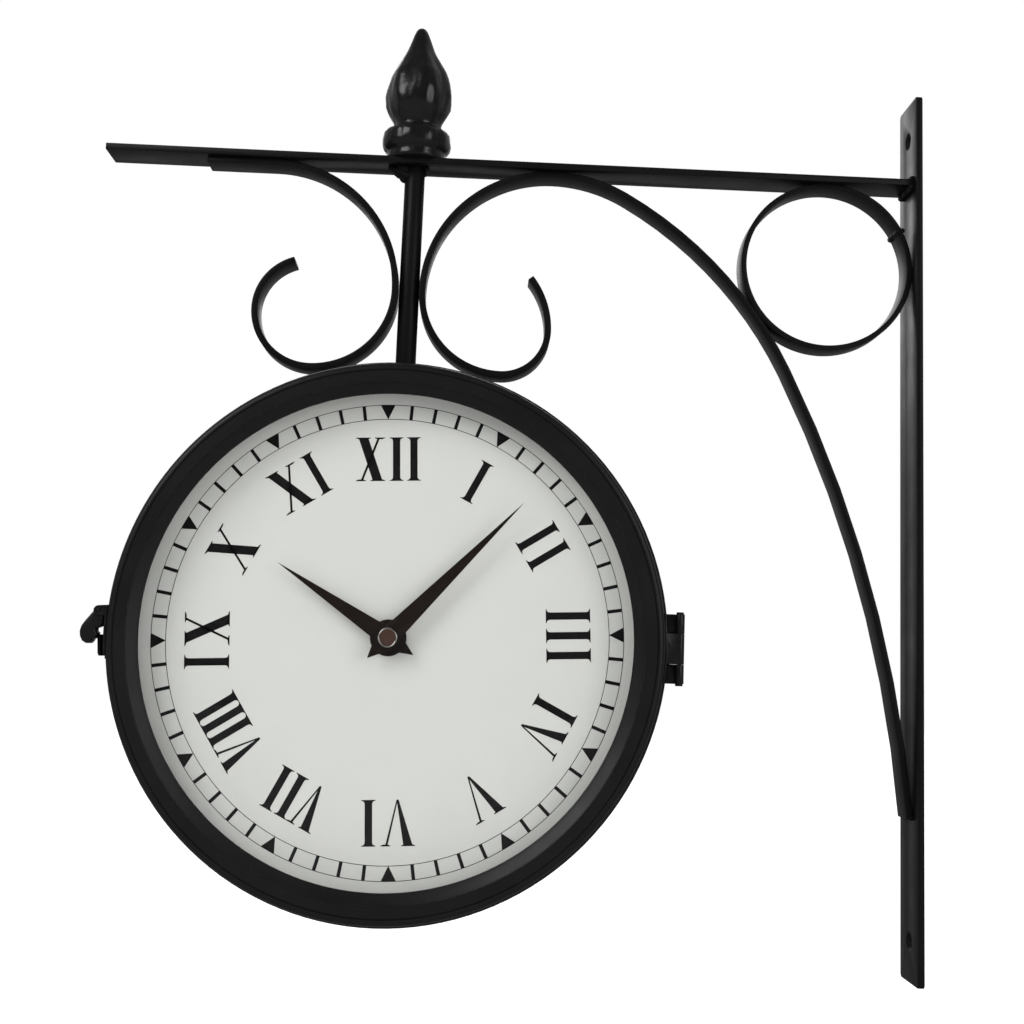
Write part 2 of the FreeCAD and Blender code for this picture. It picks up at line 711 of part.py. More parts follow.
def make_latch(side, turn):
    """A curled finger lever on a pin across a riveted base, and the keeper it lies over."""
    door_radius = amount("door_radius")
    case_radius = amount("case_radius")
    rise = amount("latch_rise")
    pin_radius = amount("latch_pin / 2")
    gap = amount("pin_clearance")
    width = amount("latch_width")
    low = amount("latch_out")
    high = low + width
    plate = 1.0
    pivot = -(door_radius + plate + 1.8)

    base = curved_leaf(door_radius, (low - 0.9, high + 0.9), (-3.4, rise + 2.2), plate, -1)
    bore = rod_out(pin_radius + gap, low - 2, high + 2, pivot, rise)
    for near, far in ((low - 0.9, low - 0.1), (high + 0.1, high + 0.9)):
        ear = block((pivot, -door_radius + 3), (near, far), (rise - 2.2, rise + 2.2))
        ear = ear.fuse(rod_out(2.2, near, far, pivot, rise))
        base = base.fuse(ear.cut(rod_out(door_radius + 0.5, near - 1, far + 1)))
    base = base.cut(bore).removeSplitter()
    place(shaped(side + "_latch_base", base), DIAL_HEIGHT, turn, LATCH_TURN)

    pin = rod_out(pin_radius, low - 1.2, high + 1.2, pivot, rise)
    place(shaped(side + "_latch_pin", pin), DIAL_HEIGHT, turn, LATCH_TURN)

    eye = rod_out(pin_radius + 1.0, low, high, pivot, rise)
    finger = -(door_radius + 7.1)
    curl_up = rise - 10.4
    strip = bar_out([(pivot - 1.3, rise + 0.8), (finger - 2.1, curl_up + 1.6),
                     (finger - 1.2, curl_up + 0.9), (pivot - 0.3, rise - 0.8)], low, high)
    curl = rod_out(2.5, low, high, finger, curl_up).cut(rod_out(1.5, low, high, finger, curl_up))
    mouth = block((finger, finger + 3.0), (low, high), (curl_up - 3.0, curl_up))
    inner_face = -(case_radius + 0.9)
    tongue = block((inner_face - 1.0, inner_face), (low - 9.0, high), (-3.2, curl_up + 0.3))
    bridge = block((finger + 1.4, inner_face), (low, high), (curl_up - 0.7, curl_up + 0.3))
    lever = eye.fuse([strip, curl.cut(mouth), tongue, bridge])
    lever = lever.cut(bore).removeSplitter()
    place(shaped(side + "_latch_lever", lever), DIAL_HEIGHT, turn, LATCH_TURN)

    keeper = curved_leaf(case_radius, (low - 10.0, low - 3.4), (-4.6, 5.0), 0.5, -1)
    place(shaped(side + "_latch_keeper", keeper), DIAL_HEIGHT, turn, LATCH_TURN)


# ---------------------------------------------------------------- clock movements

def make_movement_case(side, turn):
    """Moulded housing with the threaded bushing in front, and its cover with the battery bay."""
    half = "movement_side / 2"
    inner_half = "movement_side / 2 - movement_wall"
    outline = rectangle("movement_side", "0 - " + half, half)
    inner_low = negative(inner_half)
    hollow = [(inner_low, inner_low), (inner_half, inner_low), (inner_half, inner_half),
              (inner_low, inner_half)]
    face = "dial_back - movement_wall"
    running = "2 * pin_clearance"

    housing = new_body(side + "_movement_housing")
    grow(housing, "XZ_Plane", "movement_joint", "dial_back", outline)
    cut(housing, "XZ_Plane", "movement_joint", face, hollow)
    grow(housing, "XZ_Plane", "dial_back", "bushing_out",
         circles=[("0", "0", "bushing_diameter")])
    cut(housing, "XZ_Plane", face, "bushing_out",
        circles=[("0", "0", "pipe_diameter + " + running)])
    shelf_top = "0 - battery_drop + battery_diameter / 2 + 1.2"
    shelf_foot = "0 - battery_drop + battery_diameter / 2 + 0.2"
    grow(housing, "XZ_Plane", "movement_joint", face,
         [("0 - " + half, shelf_foot), (half, shelf_foot), (half, shelf_top),
          ("0 - " + half, shelf_top)])
    cradle_top = "0 - battery_drop - battery_diameter / 2 - 0.2"
    for near, far in (("10", "12"), ("0 - 12", "0 - 10")):
        grow(housing, "XZ_Plane", "movement_joint", face,
             [(near, "0 - " + half), (far, "0 - " + half), (far, cradle_top), (near, cradle_top)])
    grow(housing, "XZ_Plane", "movement_joint + 2", face,
         circles=[("0", "wheel_spacing", "stud_diameter")])
    stem = ("wheel_spacing * 0.86603", "wheel_spacing + wheel_spacing / 2")
    grow(housing, "XZ_Plane", face + " - 1.5", face, circles=[(*stem, "stem_diameter + 2")])
    cut(housing, "XZ_Plane", face + " - 1.5", face,
        circles=[(*stem, "stem_diameter + " + running)])
    place(housing, DIAL_HEIGHT, turn)

    cover = new_body(side + "_movement_cover")
    floor = "movement_back + movement_wall"
    grow(cover, "XZ_Plane", "movement_back", "movement_joint", outline)
    cut(cover, "XZ_Plane", floor, "movement_joint", hollow)
    bay_top = "0 - battery_drop + battery_diameter / 2 + 0.3"
    bay_foot = "0 - battery_drop - battery_diameter / 2 - 0.3"
    bay_half = "battery_length / 2 + 1.4"
    cut(cover, "XZ_Plane", "movement_back", floor,
        [("0 - battery_length / 2 - 1.4", bay_foot), (bay_half, bay_foot), (bay_half, bay_top),
         ("0 - battery_length / 2 - 1.4", bay_top)])
    grow(cover, "XZ_Plane", floor, floor + " + 3",
         circles=[("0", "0", "arbor_diameter + 3")])
    cut(cover, "XZ_Plane", floor + " + 0.6", floor + " + 3",
        circles=[("0", "0", "arbor_diameter + " + running)])
    cut(cover, "XZ_Plane", "movement_back", floor,
        circles=[(*stem, "stem_diameter + " + running)])
    place(cover, DIAL_HEIGHT, turn)

    half_length = amount("battery_length / 2")
    low = amount("battery_out - battery_diameter / 2")
    cell = Part.makeCylinder(amount("battery_diameter / 2"), 2 * half_length,
                             Vector(-half_length, -amount("battery_out"), -amount("battery_drop")),
                             Vector(1, 0, 0))
    nub = Part.makeCylinder(2.75, 1.3, Vector(half_length, -low - amount("battery_diameter / 2"),
                                              -amount("battery_drop")), Vector(1, 0, 0))
    place(shaped(side + "_battery", cell.fuse(nub).removeSplitter()), DIAL_HEIGHT, turn)


def toothed_wheel(teeth, module, tip, root, first, low, high, across, up):
    """A spur wheel with involute flanks. first is the direction of one tooth, clockwise zero at
    the right, counted towards the top; tip and root are heights over and under the pitch line."""
    pitch = teeth * module / 2
    base = pitch * math.cos(math.radians(20.0))
    pressure = math.radians(20.0)
    backlash = 0.06
    half_at_base = (math.pi / (2 * teeth) - backlash / (2 * pitch)
                    + math.tan(pressure) - pressure)

    def half_angle(radius):
        lean = math.acos(min(1.0, base / radius))
        return half_at_base - (math.tan(lean) - lean)

    radii = [pitch - root * module, pitch + tip * module]
    flank = [(radius, half_angle(max(radius, base))) for radius in radii]
    outline = []
    for tooth in range(teeth):
        middle = math.radians(first) + 2 * math.pi * tooth / teeth
        sides = [(radius, middle - half) for radius, half in flank]
        sides += [(radius, middle + half) for radius, half in reversed(flank)]
        outline += [(across + radius * math.cos(angle), up + radius * math.sin(angle))
                    for radius, angle in sides]
    return bar_out(outline, low, high)


def make_wheels(side, turn):
    """The motion work: minute arbor, motion wheel and hour wheel, twelve turns to one, and the
    setting knob that turns the same motion wheel from behind."""
    spacing = amount("wheel_spacing")
    small = int(amount("pinion_teeth"))
    motion = int(amount("motion_teeth"))
    hour = int(amount("hour_teeth"))
    coarse = 2 * spacing / (small + motion)
    fine = 2 * spacing / (small + hour)
    gap = amount("pin_clearance")
    face = amount("dial_back - movement_wall")
    arbor = amount("arbor_diameter / 2")
    pipe = amount("pipe_diameter / 2")
    floor = amount("movement_back + movement_wall")
    layer = amount("movement_joint") + 3.3

    minute = rod_out(arbor, floor + 0.7, amount("arbor_out")).fuse(
        toothed_wheel(small, coarse, 1.0, 1.0, 90, layer, layer + 2.1, 0, 0))
    place(shaped(side + "_minute_arbor", minute.removeSplitter()), DIAL_HEIGHT, turn)

    half_pitch = 180 / motion
    wheel = toothed_wheel(motion, coarse, 0.7, 1.25, 270 + half_pitch, layer + 0.4, layer + 1.6,
                          0, spacing)
    pinion = toothed_wheel(small, fine, 1.0, 1.0, 270, layer + 1.6, layer + 5.1, 0, spacing)
    bore = rod_out(amount("stud_diameter / 2") + gap, layer, layer + 6, 0, spacing)
    place(shaped(side + "_motion_wheel", wheel.fuse(pinion).cut(bore).removeSplitter()),
          DIAL_HEIGHT, turn)

    disc = toothed_wheel(hour, fine, 0.7, 1.25, 90 + 180 / hour, layer + 3.5, layer + 4.7, 0, 0)
    collar = rod_out(pipe + 1.0, layer + 4.7, face - 0.1)
    tube = rod_out(pipe, layer + 3.5, amount("hour_hand_out") + 1.2)
    inside = rod_out(arbor + gap, layer, amount("arbor_out"))
    place(shaped(side + "_hour_wheel", disc.fuse([collar, tube]).cut(inside).removeSplitter()),
          DIAL_HEIGHT, turn)

    across = spacing * 0.86603
    up = spacing * 1.5
    stem = amount("stem_diameter / 2")
    back = amount("movement_back")
    knob_radius = amount("knob_diameter / 2")
    knob = rod_out(knob_radius, back - 3.8, back - 0.2, across, up)
    flutes = []
    for flute in range(8):
        angle = 2 * math.pi * flute / 8
        flutes.append(rod_out(0.9, back - 4, back, across + (knob_radius + 0.3) * math.cos(angle),
                              up + (knob_radius + 0.3) * math.sin(angle)))
    gear = toothed_wheel(small, coarse, 1.0, 1.0, 210, layer, layer + 2.1, across, up)
    setter = knob.cut(flutes).fuse([rod_out(stem, back - 0.2, face - 0.2, across, up), gear])
    place(shaped(side + "_setting_knob", setter.removeSplitter()), DIAL_HEIGHT, turn)


# ---------------------------------------------------------------- hands and what holds them

def make_hand(label, length, tail, low, bore, turn, angle):
    """A stamped lance: widest just behind its centre, with a long taper and a pointed tail."""
    hand = new_body(label)
    shoulder = tail + " / 4"
    high = low + " + hand_gauge"
    outline = [("0", "0 - " + tail), ("hand_width / 2", "0 - " + shoulder), ("0", length),
               ("0 - hand_width / 2", "0 - " + shoulder)]
    grow(hand, "XZ_Plane", low, high, outline)
    grow(hand, "XZ_Plane", low + " - 0.4", high + " + 0.4", circles=[("0", "0", bore + " + 1.8")])
    cut(hand, "XZ_Plane", low + " - 0.4", high + " + 0.4", circles=[("0", "0", bore + " + 0.04")])
    place(hand, DIAL_HEIGHT, turn, angle)


def make_hands(side, turn):
    front = "dial_back + dial_gauge"
    make_hand(side + "_hour_hand", "hour_hand", "hour_tail", "hour_hand_out", "pipe_diameter",
              turn, HOUR_ANGLE)
    make_hand(side + "_minute_hand", "minute_hand", "minute_tail", "minute_hand_out",
              "arbor_diameter", turn, MINUTE_ANGLE)

    bore = "bushing_diameter / 2 + rod_clearance"
    washer = about_dial(side + "_dial_washer", [
        (bore, front), ("dial_washer_diameter / 2", front),
        ("dial_washer_diameter / 2", front + " + washer_gauge"), (bore, front + " + washer_gauge")])
    place(washer, DIAL_HEIGHT, turn)

    low = amount(front + " + washer_gauge")
    nut = hex_prism(amount("bushing_nut_flats"), low, low + amount("bushing_nut_height"),
                    amount(bore), upright=False)
    place(shaped(side + "_bushing_nut", nut), DIAL_HEIGHT, turn)

    seat = "minute_hand_out + hand_gauge + 0.4"
    thread = "arbor_diameter / 2 + 0.02"
    rim = "cap_nut_diameter / 2"
    cap = about_dial(side + "_cap_nut", [
        (thread, seat), (rim, seat), (rim, "arbor_out + 0.3"), (rim + " - 0.6", "arbor_out + 0.9"),
        ("0", "arbor_out + 0.9"), ("0", "arbor_out + 0.05"), (thread, "arbor_out + 0.05")])
    place(cap, DIAL_HEIGHT, turn)


# ---------------------------------------------------------------- the whole clock

make_wall_plate()
make_arm()
arch_line = make_scrolls()
make_brace_ring(arch_line)
make_post_and_rod()
make_finial()
make_case_band()
make_dial_screws()
for side, turn in (("front", 0.0), ("rear", 180.0)):
    make_dial(side, turn)
    make_door(side, turn)
    make_hinge(side, turn)
    make_latch(side, turn)
    make_movement_case(side, turn)
    make_wheels(side, turn)
    make_hands(side, turn)

document.recompute()
for item in document.Objects:
    if "Invalid" in item.State or "Error" in item.State:
        raise RuntimeError(item.Label + " failed: " + ", ".join(item.State))
for piece in pieces:
    if piece.Shape.isNull() or not piece.Shape.isValid():
        raise RuntimeError(piece.Label + " has no valid shape")

os.makedirs("parts", exist_ok=True)
for piece in pieces:
    piece.Shape.exportStep(os.path.join("parts", piece.Label + ".step"))
    box = piece.Shape.BoundBox
    print(f"{piece.Label}: {len(piece.Shape.Solids)} solids, {piece.Shape.Volume:.1f} mm3, "
          f"x {box.XMin:.1f}..{box.XMax:.1f} y {box.YMin:.1f}..{box.YMax:.1f} "
          f"z {box.ZMin:.1f}..{box.ZMax:.1f}")
print(len(pieces), "sub-parts")
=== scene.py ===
import math

import bmesh
import bpy
from mathutils import Matrix, Vector, noise


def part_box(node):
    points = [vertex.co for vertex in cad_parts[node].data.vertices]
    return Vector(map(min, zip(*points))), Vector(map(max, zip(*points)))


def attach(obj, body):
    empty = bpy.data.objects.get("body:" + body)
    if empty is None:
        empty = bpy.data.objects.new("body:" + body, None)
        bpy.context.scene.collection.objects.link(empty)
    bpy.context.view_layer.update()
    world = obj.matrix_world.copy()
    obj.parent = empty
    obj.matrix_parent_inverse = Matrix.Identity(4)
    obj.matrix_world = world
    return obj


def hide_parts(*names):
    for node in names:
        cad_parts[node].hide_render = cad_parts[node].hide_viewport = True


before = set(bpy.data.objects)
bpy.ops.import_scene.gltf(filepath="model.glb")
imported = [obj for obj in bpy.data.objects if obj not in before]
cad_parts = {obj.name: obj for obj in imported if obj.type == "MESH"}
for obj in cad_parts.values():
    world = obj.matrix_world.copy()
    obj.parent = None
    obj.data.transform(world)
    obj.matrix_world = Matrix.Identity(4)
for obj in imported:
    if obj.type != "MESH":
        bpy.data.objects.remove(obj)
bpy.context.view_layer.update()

# ---------------------------------------------------------------- studio
# A pale matt floor below the bracket and a white backdrop, as for a catalogue picture. The camera
# and clear glass see plain white; gloss sees a dimmer white behind and a dim room in front.
# Three soft lamps stand upper left, right and behind at a plain level.

scene = bpy.context.scene
scene.view_settings.view_transform = "Standard"

CAMERA_PLACE = Vector((-0.2022, -0.6862, -0.0707))
CAMERA_YAW, CAMERA_PITCH, CAMERA_ROLL = (math.radians(angle) for angle in (-1.12, 8.54, 2.23))
FOCAL_PIXELS = 1490.2
PICTURE_PIXELS = 1024
FLOOR_HEIGHT = -0.30
FLOOR_REACH = 6.0
WHITE = (1.0, 1.0, 1.0, 1.0)
FLOOR_GREY = (0.75, 0.75, 0.75, 1.0)
FLOOR_IN_GLOSS = (0.16, 0.16, 0.16, 1.0)
ROOM_LEVEL = 0.76
FLOOR_GLOW = 0.62
GLOW_IN_GLOSS = 0.1

lens = bpy.data.cameras.new("view")
lens.sensor_width = 36.0
lens.lens = FOCAL_PIXELS / PICTURE_PIXELS * lens.sensor_width
lens.shift_y = -0.0703
lens.clip_start = 0.01
camera = bpy.data.objects.new("view", lens)
scene.collection.objects.link(camera)
axes = (Matrix.Rotation(CAMERA_ROLL, 3, "Y") @ Matrix.Rotation(-CAMERA_PITCH, 3, "X")
        @ Matrix.Rotation(-CAMERA_YAW, 3, "Z"))
right, forward, up = axes
camera.matrix_world = (Matrix.Translation(CAMERA_PLACE)
                       @ Matrix((right, up, -forward)).transposed().to_4x4())
scene.camera = camera


def soft_lamp(name, place, aim, width, height, watts):
    light = bpy.data.lights.new(name, "AREA")
    light.shape = "RECTANGLE"
    light.size = width
    light.size_y = height
    light.energy = watts
    lamp = bpy.data.objects.new(name, light)
    lamp.location = place
    lamp.rotation_euler = (Vector(aim) - Vector(place)).to_track_quat("-Z", "Y").to_euler()
    scene.collection.objects.link(lamp)


soft_lamp("upper_left_softbox", (-1.5, -1.3, 1.1), (-0.24, 0.0, -0.05), 1.0, 1.0, 16.0)
soft_lamp("right_softbox", (1.2, -1.5, 0.5), (-0.2, 0.0, -0.05), 0.8, 1.2, 8.0)
soft_lamp("rear_softbox", (-0.3, 1.8, 1.0), (-0.2, 0.0, 0.0), 1.2, 1.2, 7.0)


def join(tree, start, end):
    tree.links.new(start, end)


def add_node(tree, kind, **values):
    made = tree.nodes.new(kind)
    for field, value in values.items():
        setattr(made, field, value)
    return made


def combined(tree, operation, first, second):
    """The output of a math node on two values, each a socket or a number."""
    made = add_node(tree, "ShaderNodeMath", operation=operation)
    for entry, value in zip(made.inputs, (first, second)):
        if isinstance(value, float):
            entry.default_value = value
        else:
            join(tree, value, entry)
    return made.outputs[0]


def sees_backdrop(tree, in_gloss=1.0):
    """1 for rays straight from the camera or through glass, and a share of it off gloss."""
    path = add_node(tree, "ShaderNodeLightPath")
    share = combined(tree, "MULTIPLY", path.outputs["Is Glossy Ray"], in_gloss)
    either = combined(tree, "MAXIMUM", path.outputs["Is Camera Ray"], share)
    return combined(tree, "MAXIMUM", either, path.outputs["Is Transmission Ray"])


world = bpy.data.worlds.new("studio")
world.use_nodes = True
scene.world = world
sky = world.node_tree
sky.nodes.clear()
room = add_node(sky, "ShaderNodeBackground")
room.inputs["Color"].default_value = WHITE
room.inputs["Strength"].default_value = ROOM_LEVEL
sweep = add_node(sky, "ShaderNodeBackground")
sweep.inputs["Color"].default_value = WHITE
either_sky = add_node(sky, "ShaderNodeMixShader")
sky_out = add_node(sky, "ShaderNodeOutputWorld")
# In gloss the backdrop is a dim white behind the clock that fades to a dark room in front of it.
heading = add_node(sky, "ShaderNodeSeparateXYZ")
behind = add_node(sky, "ShaderNodeMapRange", interpolation_type="SMOOTHSTEP")
behind.inputs["From Min"].default_value = -0.35
behind.inputs["From Max"].default_value = 0.75
behind.inputs["To Min"].default_value = 0.05
behind.inputs["To Max"].default_value = 0.42
join(sky, add_node(sky, "ShaderNodeTexCoord").outputs["Generated"], heading.inputs[0])
join(sky, heading.outputs["Y"], behind.inputs["Value"])
straight = add_node(sky, "ShaderNodeLightPath")
plain_white = combined(sky, "MAXIMUM", straight.outputs["Is Camera Ray"],
                       straight.outputs["Is Transmission Ray"])
join(sky, combined(sky, "MAXIMUM", plain_white, behind.outputs["Result"]),
     sweep.inputs["Strength"])
join(sky, sees_backdrop(sky), either_sky.inputs[0])
join(sky, room.outputs[0], either_sky.inputs[1])
join(sky, sweep.outputs[0], either_sky.inputs[2])
join(sky, either_sky.outputs[0], sky_out.inputs["Surface"])

floor_bm = bmesh.new()
bmesh.ops.create_grid(floor_bm, x_segments=1, y_segments=1, size=FLOOR_REACH,
                      matrix=Matrix.Translation((-0.24, 0.0, FLOOR_HEIGHT)))
floor_mesh = bpy.data.meshes.new("floor")
floor_bm.to_mesh(floor_mesh)
floor_bm.free()
floor = bpy.data.objects.new("floor", floor_mesh)
scene.collection.objects.link(floor)
floor_paint = bpy.data.materials.new("floor_paint")
floor_paint.use_nodes = True
tree = floor_paint.node_tree
tree.nodes.clear()
matt = add_node(tree, "ShaderNodeBsdfDiffuse")
floor_tone = add_node(tree, "ShaderNodeMix", data_type="RGBA")
floor_tone.inputs["A"].default_value = FLOOR_GREY
floor_tone.inputs["B"].default_value = FLOOR_IN_GLOSS
join(tree, add_node(tree, "ShaderNodeLightPath").outputs["Is Glossy Ray"],
     floor_tone.inputs["Factor"])
join(tree, floor_tone.outputs["Result"], matt.inputs["Color"])
glow = add_node(tree, "ShaderNodeEmission")
glow.inputs["Color"].default_value = WHITE
join(tree, combined(tree, "MULTIPLY", sees_backdrop(tree, GLOW_IN_GLOSS), FLOOR_GLOW),
     glow.inputs["Strength"])
lit = add_node(tree, "ShaderNodeAddShader")
join(tree, matt.outputs[0], lit.inputs[0])
join(tree, glow.outputs[0], lit.inputs[1])
join(tree, lit.outputs[0], add_node(tree, "ShaderNodeOutputMaterial").inputs["Surface"])
floor_mesh.materials.append(floor_paint)

# ---------------------------------------------------------------- wall plate and arm
# Flat mild steel bar, sawn to length, drilled and countersunk, and painted satin black after the
# welding. The arm is welded square to the plate. The saw and the paint leave soft edges.

MM = 0.001
POST_X = -0.240
ARM_TOP = 0.164
BAR_EDGE = 0.35 * MM


def sockets(group, inputs, outputs):
    """Named inputs and outputs on a shader node group: (name, kind, default), (name, kind)."""
    for name, kind, default in inputs:
        made = group.interface.new_socket(name=name, in_out="INPUT", socket_type=kind)
        made.default_value = default
    for name, kind in outputs:
        group.interface.new_socket(name=name, in_out="OUTPUT", socket_type=kind)


# Paint skin: slow mottling for gloss and colour, and the fine orange peel of sprayed enamel.
paint_skin = bpy.data.node_groups.new("paint_skin", "ShaderNodeTree")
sockets(paint_skin,
        [("Dark", "NodeSocketColor", (0.01, 0.01, 0.01, 1.0)),
         ("Light", "NodeSocketColor", (0.02, 0.02, 0.02, 1.0)),
         ("Patch Size", "NodeSocketFloat", 60.0),
         ("Peel Size", "NodeSocketFloat", 900.0),
         ("Smoothest", "NodeSocketFloat", 0.3),
         ("Roughest", "NodeSocketFloat", 0.45)],
        [("Color", "NodeSocketColor"), ("Roughness", "NodeSocketFloat"),
         ("Height", "NodeSocketFloat")])
tree = paint_skin
skin_in = add_node(tree, "NodeGroupInput")
skin_out = add_node(tree, "NodeGroupOutput")
place = add_node(tree, "ShaderNodeTexCoord")
patches = add_node(tree, "ShaderNodeTexNoise")
patches.inputs["Detail"].default_value = 4.0
patches.inputs["Roughness"].default_value = 0.6
peel = add_node(tree, "ShaderNodeTexNoise")
peel.inputs["Detail"].default_value = 2.0
join(tree, place.outputs["Object"], patches.inputs["Vector"])
join(tree, place.outputs["Object"], peel.inputs["Vector"])
join(tree, skin_in.outputs["Patch Size"], patches.inputs["Scale"])
join(tree, skin_in.outputs["Peel Size"], peel.inputs["Scale"])
spread = add_node(tree, "ShaderNodeMapRange")
spread.inputs["From Min"].default_value = 0.3
spread.inputs["From Max"].default_value = 0.7
join(tree, patches.outputs["Fac"], spread.inputs["Value"])
join(tree, skin_in.outputs["Smoothest"], spread.inputs["To Min"])
join(tree, skin_in.outputs["Roughest"], spread.inputs["To Max"])
join(tree, spread.outputs["Result"], skin_out.inputs["Roughness"])
tone = add_node(tree, "ShaderNodeMix", data_type="RGBA")
join(tree, patches.outputs["Fac"], tone.inputs["Factor"])
join(tree, skin_in.outputs["Dark"], tone.inputs["A"])
join(tree, skin_in.outputs["Light"], tone.inputs["B"])
join(tree, tone.outputs["Result"], skin_out.inputs["Color"])
join(tree, peel.outputs["Fac"], skin_out.inputs["Height"])


def finish(name, dark, light, smoothest, roughest, patch, peel_size, peel_depth, metallic=0.0,
           specular=0.5):
    """A painted, plated or moulded finish: two tones in patches, uneven gloss and a fine skin."""
    material = bpy.data.materials.new(name)
    material.use_nodes = True
    tree = material.node_tree
    shader = tree.nodes["Principled BSDF"]
    shader.inputs["Metallic"].default_value = metallic
    shader.inputs["Specular IOR Level"].default_value = specular
    skin = add_node(tree, "ShaderNodeGroup", node_tree=paint_skin)
    skin.inputs["Dark"].default_value = (*dark, 1.0)
    skin.inputs["Light"].default_value = (*light, 1.0)
    skin.inputs["Patch Size"].default_value = patch
    skin.inputs["Peel Size"].default_value = peel_size
    skin.inputs["Smoothest"].default_value = smoothest
    skin.inputs["Roughest"].default_value = roughest
    bump = add_node(tree, "ShaderNodeBump")
    bump.inputs["Distance"].default_value = peel_depth * MM
    join(tree, skin.outputs["Color"], shader.inputs["Base Color"])
    join(tree, skin.outputs["Roughness"], shader.inputs["Roughness"])
    join(tree, skin.outputs["Height"], bump.inputs["Height"])
    join(tree, bump.outputs["Normal"], shader.inputs["Normal"])
    return material


def piece(name, bm, body, materials, replaced=(), sharp=38.0):
    """The finished mesh as an object that rides on a body and stands for CAD nodes."""
    mesh = bpy.data.meshes.new(name)
    bm.to_mesh(mesh)
    mesh.shade_smooth()
    mesh.set_sharp_from_angle(angle=math.radians(sharp))
    for material in materials:
        mesh.materials.append(material)
    made = bpy.data.objects.new(name, mesh)
    scene.collection.objects.link(made)
    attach(made, body)
    if replaced:
        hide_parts(*replaced)


def soften(bm, width, over=38.0):
    """Rounds the edges that are sharper than the given angle."""
    sharp = [edge for edge in bm.edges
             if edge.is_manifold and edge.calc_face_angle(0.0) > math.radians(over)]
    bmesh.ops.bevel(bm, geom=sharp, offset=width, offset_type="OFFSET", affect="EDGES",
                    segments=2, profile=0.5, material=-1, clamp_overlap=True)


def eased(node, width, material, body):
    """A copy of a CAD node with its sharp edges rounded, standing for it."""
    bm = bmesh.new()
    bm.from_mesh(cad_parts[node].data)
    bmesh.ops.remove_doubles(bm, verts=bm.verts, dist=1e-6)
    bmesh.ops.dissolve_limit(bm, angle_limit=math.radians(0.8), verts=bm.verts, edges=bm.edges)
    soften(bm, width)
    piece(node + "_finished", bm, body, [material], [node])
    bm.free()


bracket_paint = finish("satin_black_enamel", (0.004, 0.004, 0.004), (0.008, 0.008, 0.008),
                       0.32, 0.44, patch=45.0, peel_size=700.0, peel_depth=0.012, specular=0.1)
eased("wall_plate", BAR_EDGE, bracket_paint, "bracket")
eased("arm", BAR_EDGE, bracket_paint, "bracket")

# ---------------------------------------------------------------- scrolls, arch and ring
# Strip 14 x 3 mm, bent cold round a former: two scrolls against the post, the right one running
# on as the arch, and a ring in the corner. Each bend is an arc; the joints are short weld beads.

STRIP_WIDTH = 14.0
STRIP_GAUGE = 3.0
STRIP_EDGE = 0.3 * MM
RING_GAUGE = 2.5
WELD_GAP = 0.1
ARM_GAUGE = 3.0
POST_DIAMETER = 9.5
PLATE_GAUGE = 3.0
POST_TO_WALL = 240.0
SCROLL_WAIST = 64.0
ARCH_FOOT = 296.5
UNDER_ARM = -ARM_GAUGE - WELD_GAP - STRIP_GAUGE / 2
BESIDE_POST = POST_DIAMETER / 2 + WELD_GAP + STRIP_GAUGE / 2
CROWN = SCROLL_WAIST + UNDER_ARM


def bracket_spot(across, out, rise):
    """A point from millimetres beside the post, towards the viewer, and above the arm's top."""
    return Vector((POST_X + across * MM, -out * MM, ARM_TOP + rise * MM))


def only(grown, kind):
    return [item for item in grown if isinstance(item, kind)]


def bend_strip(bm, start, heading, bends):
    """Grows a strip from its middle line: (length, 0) is straight, (radius, degrees) an arc,
    left turns positive. Arcs are spun about their centre, runs are extruded."""
    left = Vector((-math.sin(math.radians(heading)), math.cos(math.radians(heading))))
    corners = []
    for side, out in ((-1, -1), (1, -1), (1, 1), (-1, 1)):
        spot = start + left * (side * STRIP_GAUGE / 2)
        corners.append(bm.verts.new(bracket_spot(spot.x, out * STRIP_WIDTH / 2, spot.y)))
    front = bm.faces.new(corners)
    spot = start
    for radius, degrees in bends:
        angle = math.radians(heading)
        along = Vector((math.cos(angle), math.sin(angle)))
        left = Vector((-along.y, along.x))
        if degrees == 0:
            grown = bmesh.ops.extrude_face_region(bm, geom=[front])["geom"]
            bmesh.ops.translate(bm, vec=(along.x * radius * MM, 0.0, along.y * radius * MM),
                                verts=only(grown, bmesh.types.BMVert))
            front = only(grown, bmesh.types.BMFace)[0]
            spot = spot + along * radius
            continue
        side = 1 if degrees > 0 else -1
        centre = spot + left * (side * radius)
        steps = max(4, round(abs(degrees) / 3))
        grown = bmesh.ops.spin(bm, geom=[front], cent=bracket_spot(centre.x, 0.0, centre.y),
                               axis=(0.0, -1.0, 0.0), dvec=(0.0, 0.0, 0.0), steps=steps,
                               angle=math.radians(degrees), use_merge=False,
                               use_normal_flip=False, use_duplicate=False)["geom_last"]
        heading += degrees
        turned = math.radians(heading)
        spot = centre - Vector((-math.sin(turned), math.cos(turned))) * (side * radius)
        front = only(grown, bmesh.types.BMFace)[0]


def strip_piece(name, runs, node):
    """One bent strip. Where two runs start back to back, the end faces between them go."""
    bm = bmesh.new()
    for start, heading, bends in runs:
        bend_strip(bm, start, heading, bends)
    bmesh.ops.remove_doubles(bm, verts=bm.verts, dist=1e-6)
    walls = [face for face in bm.faces
             if all(len(edge.link_faces) > 2 for edge in face.edges)]
    bmesh.ops.delete(bm, geom=walls, context="FACES")
    bmesh.ops.recalc_face_normals(bm, faces=bm.faces)
    soften(bm, STRIP_EDGE, over=50.0)
    piece(name, bm, "bracket", [bracket_paint], [node])
    bm.free()


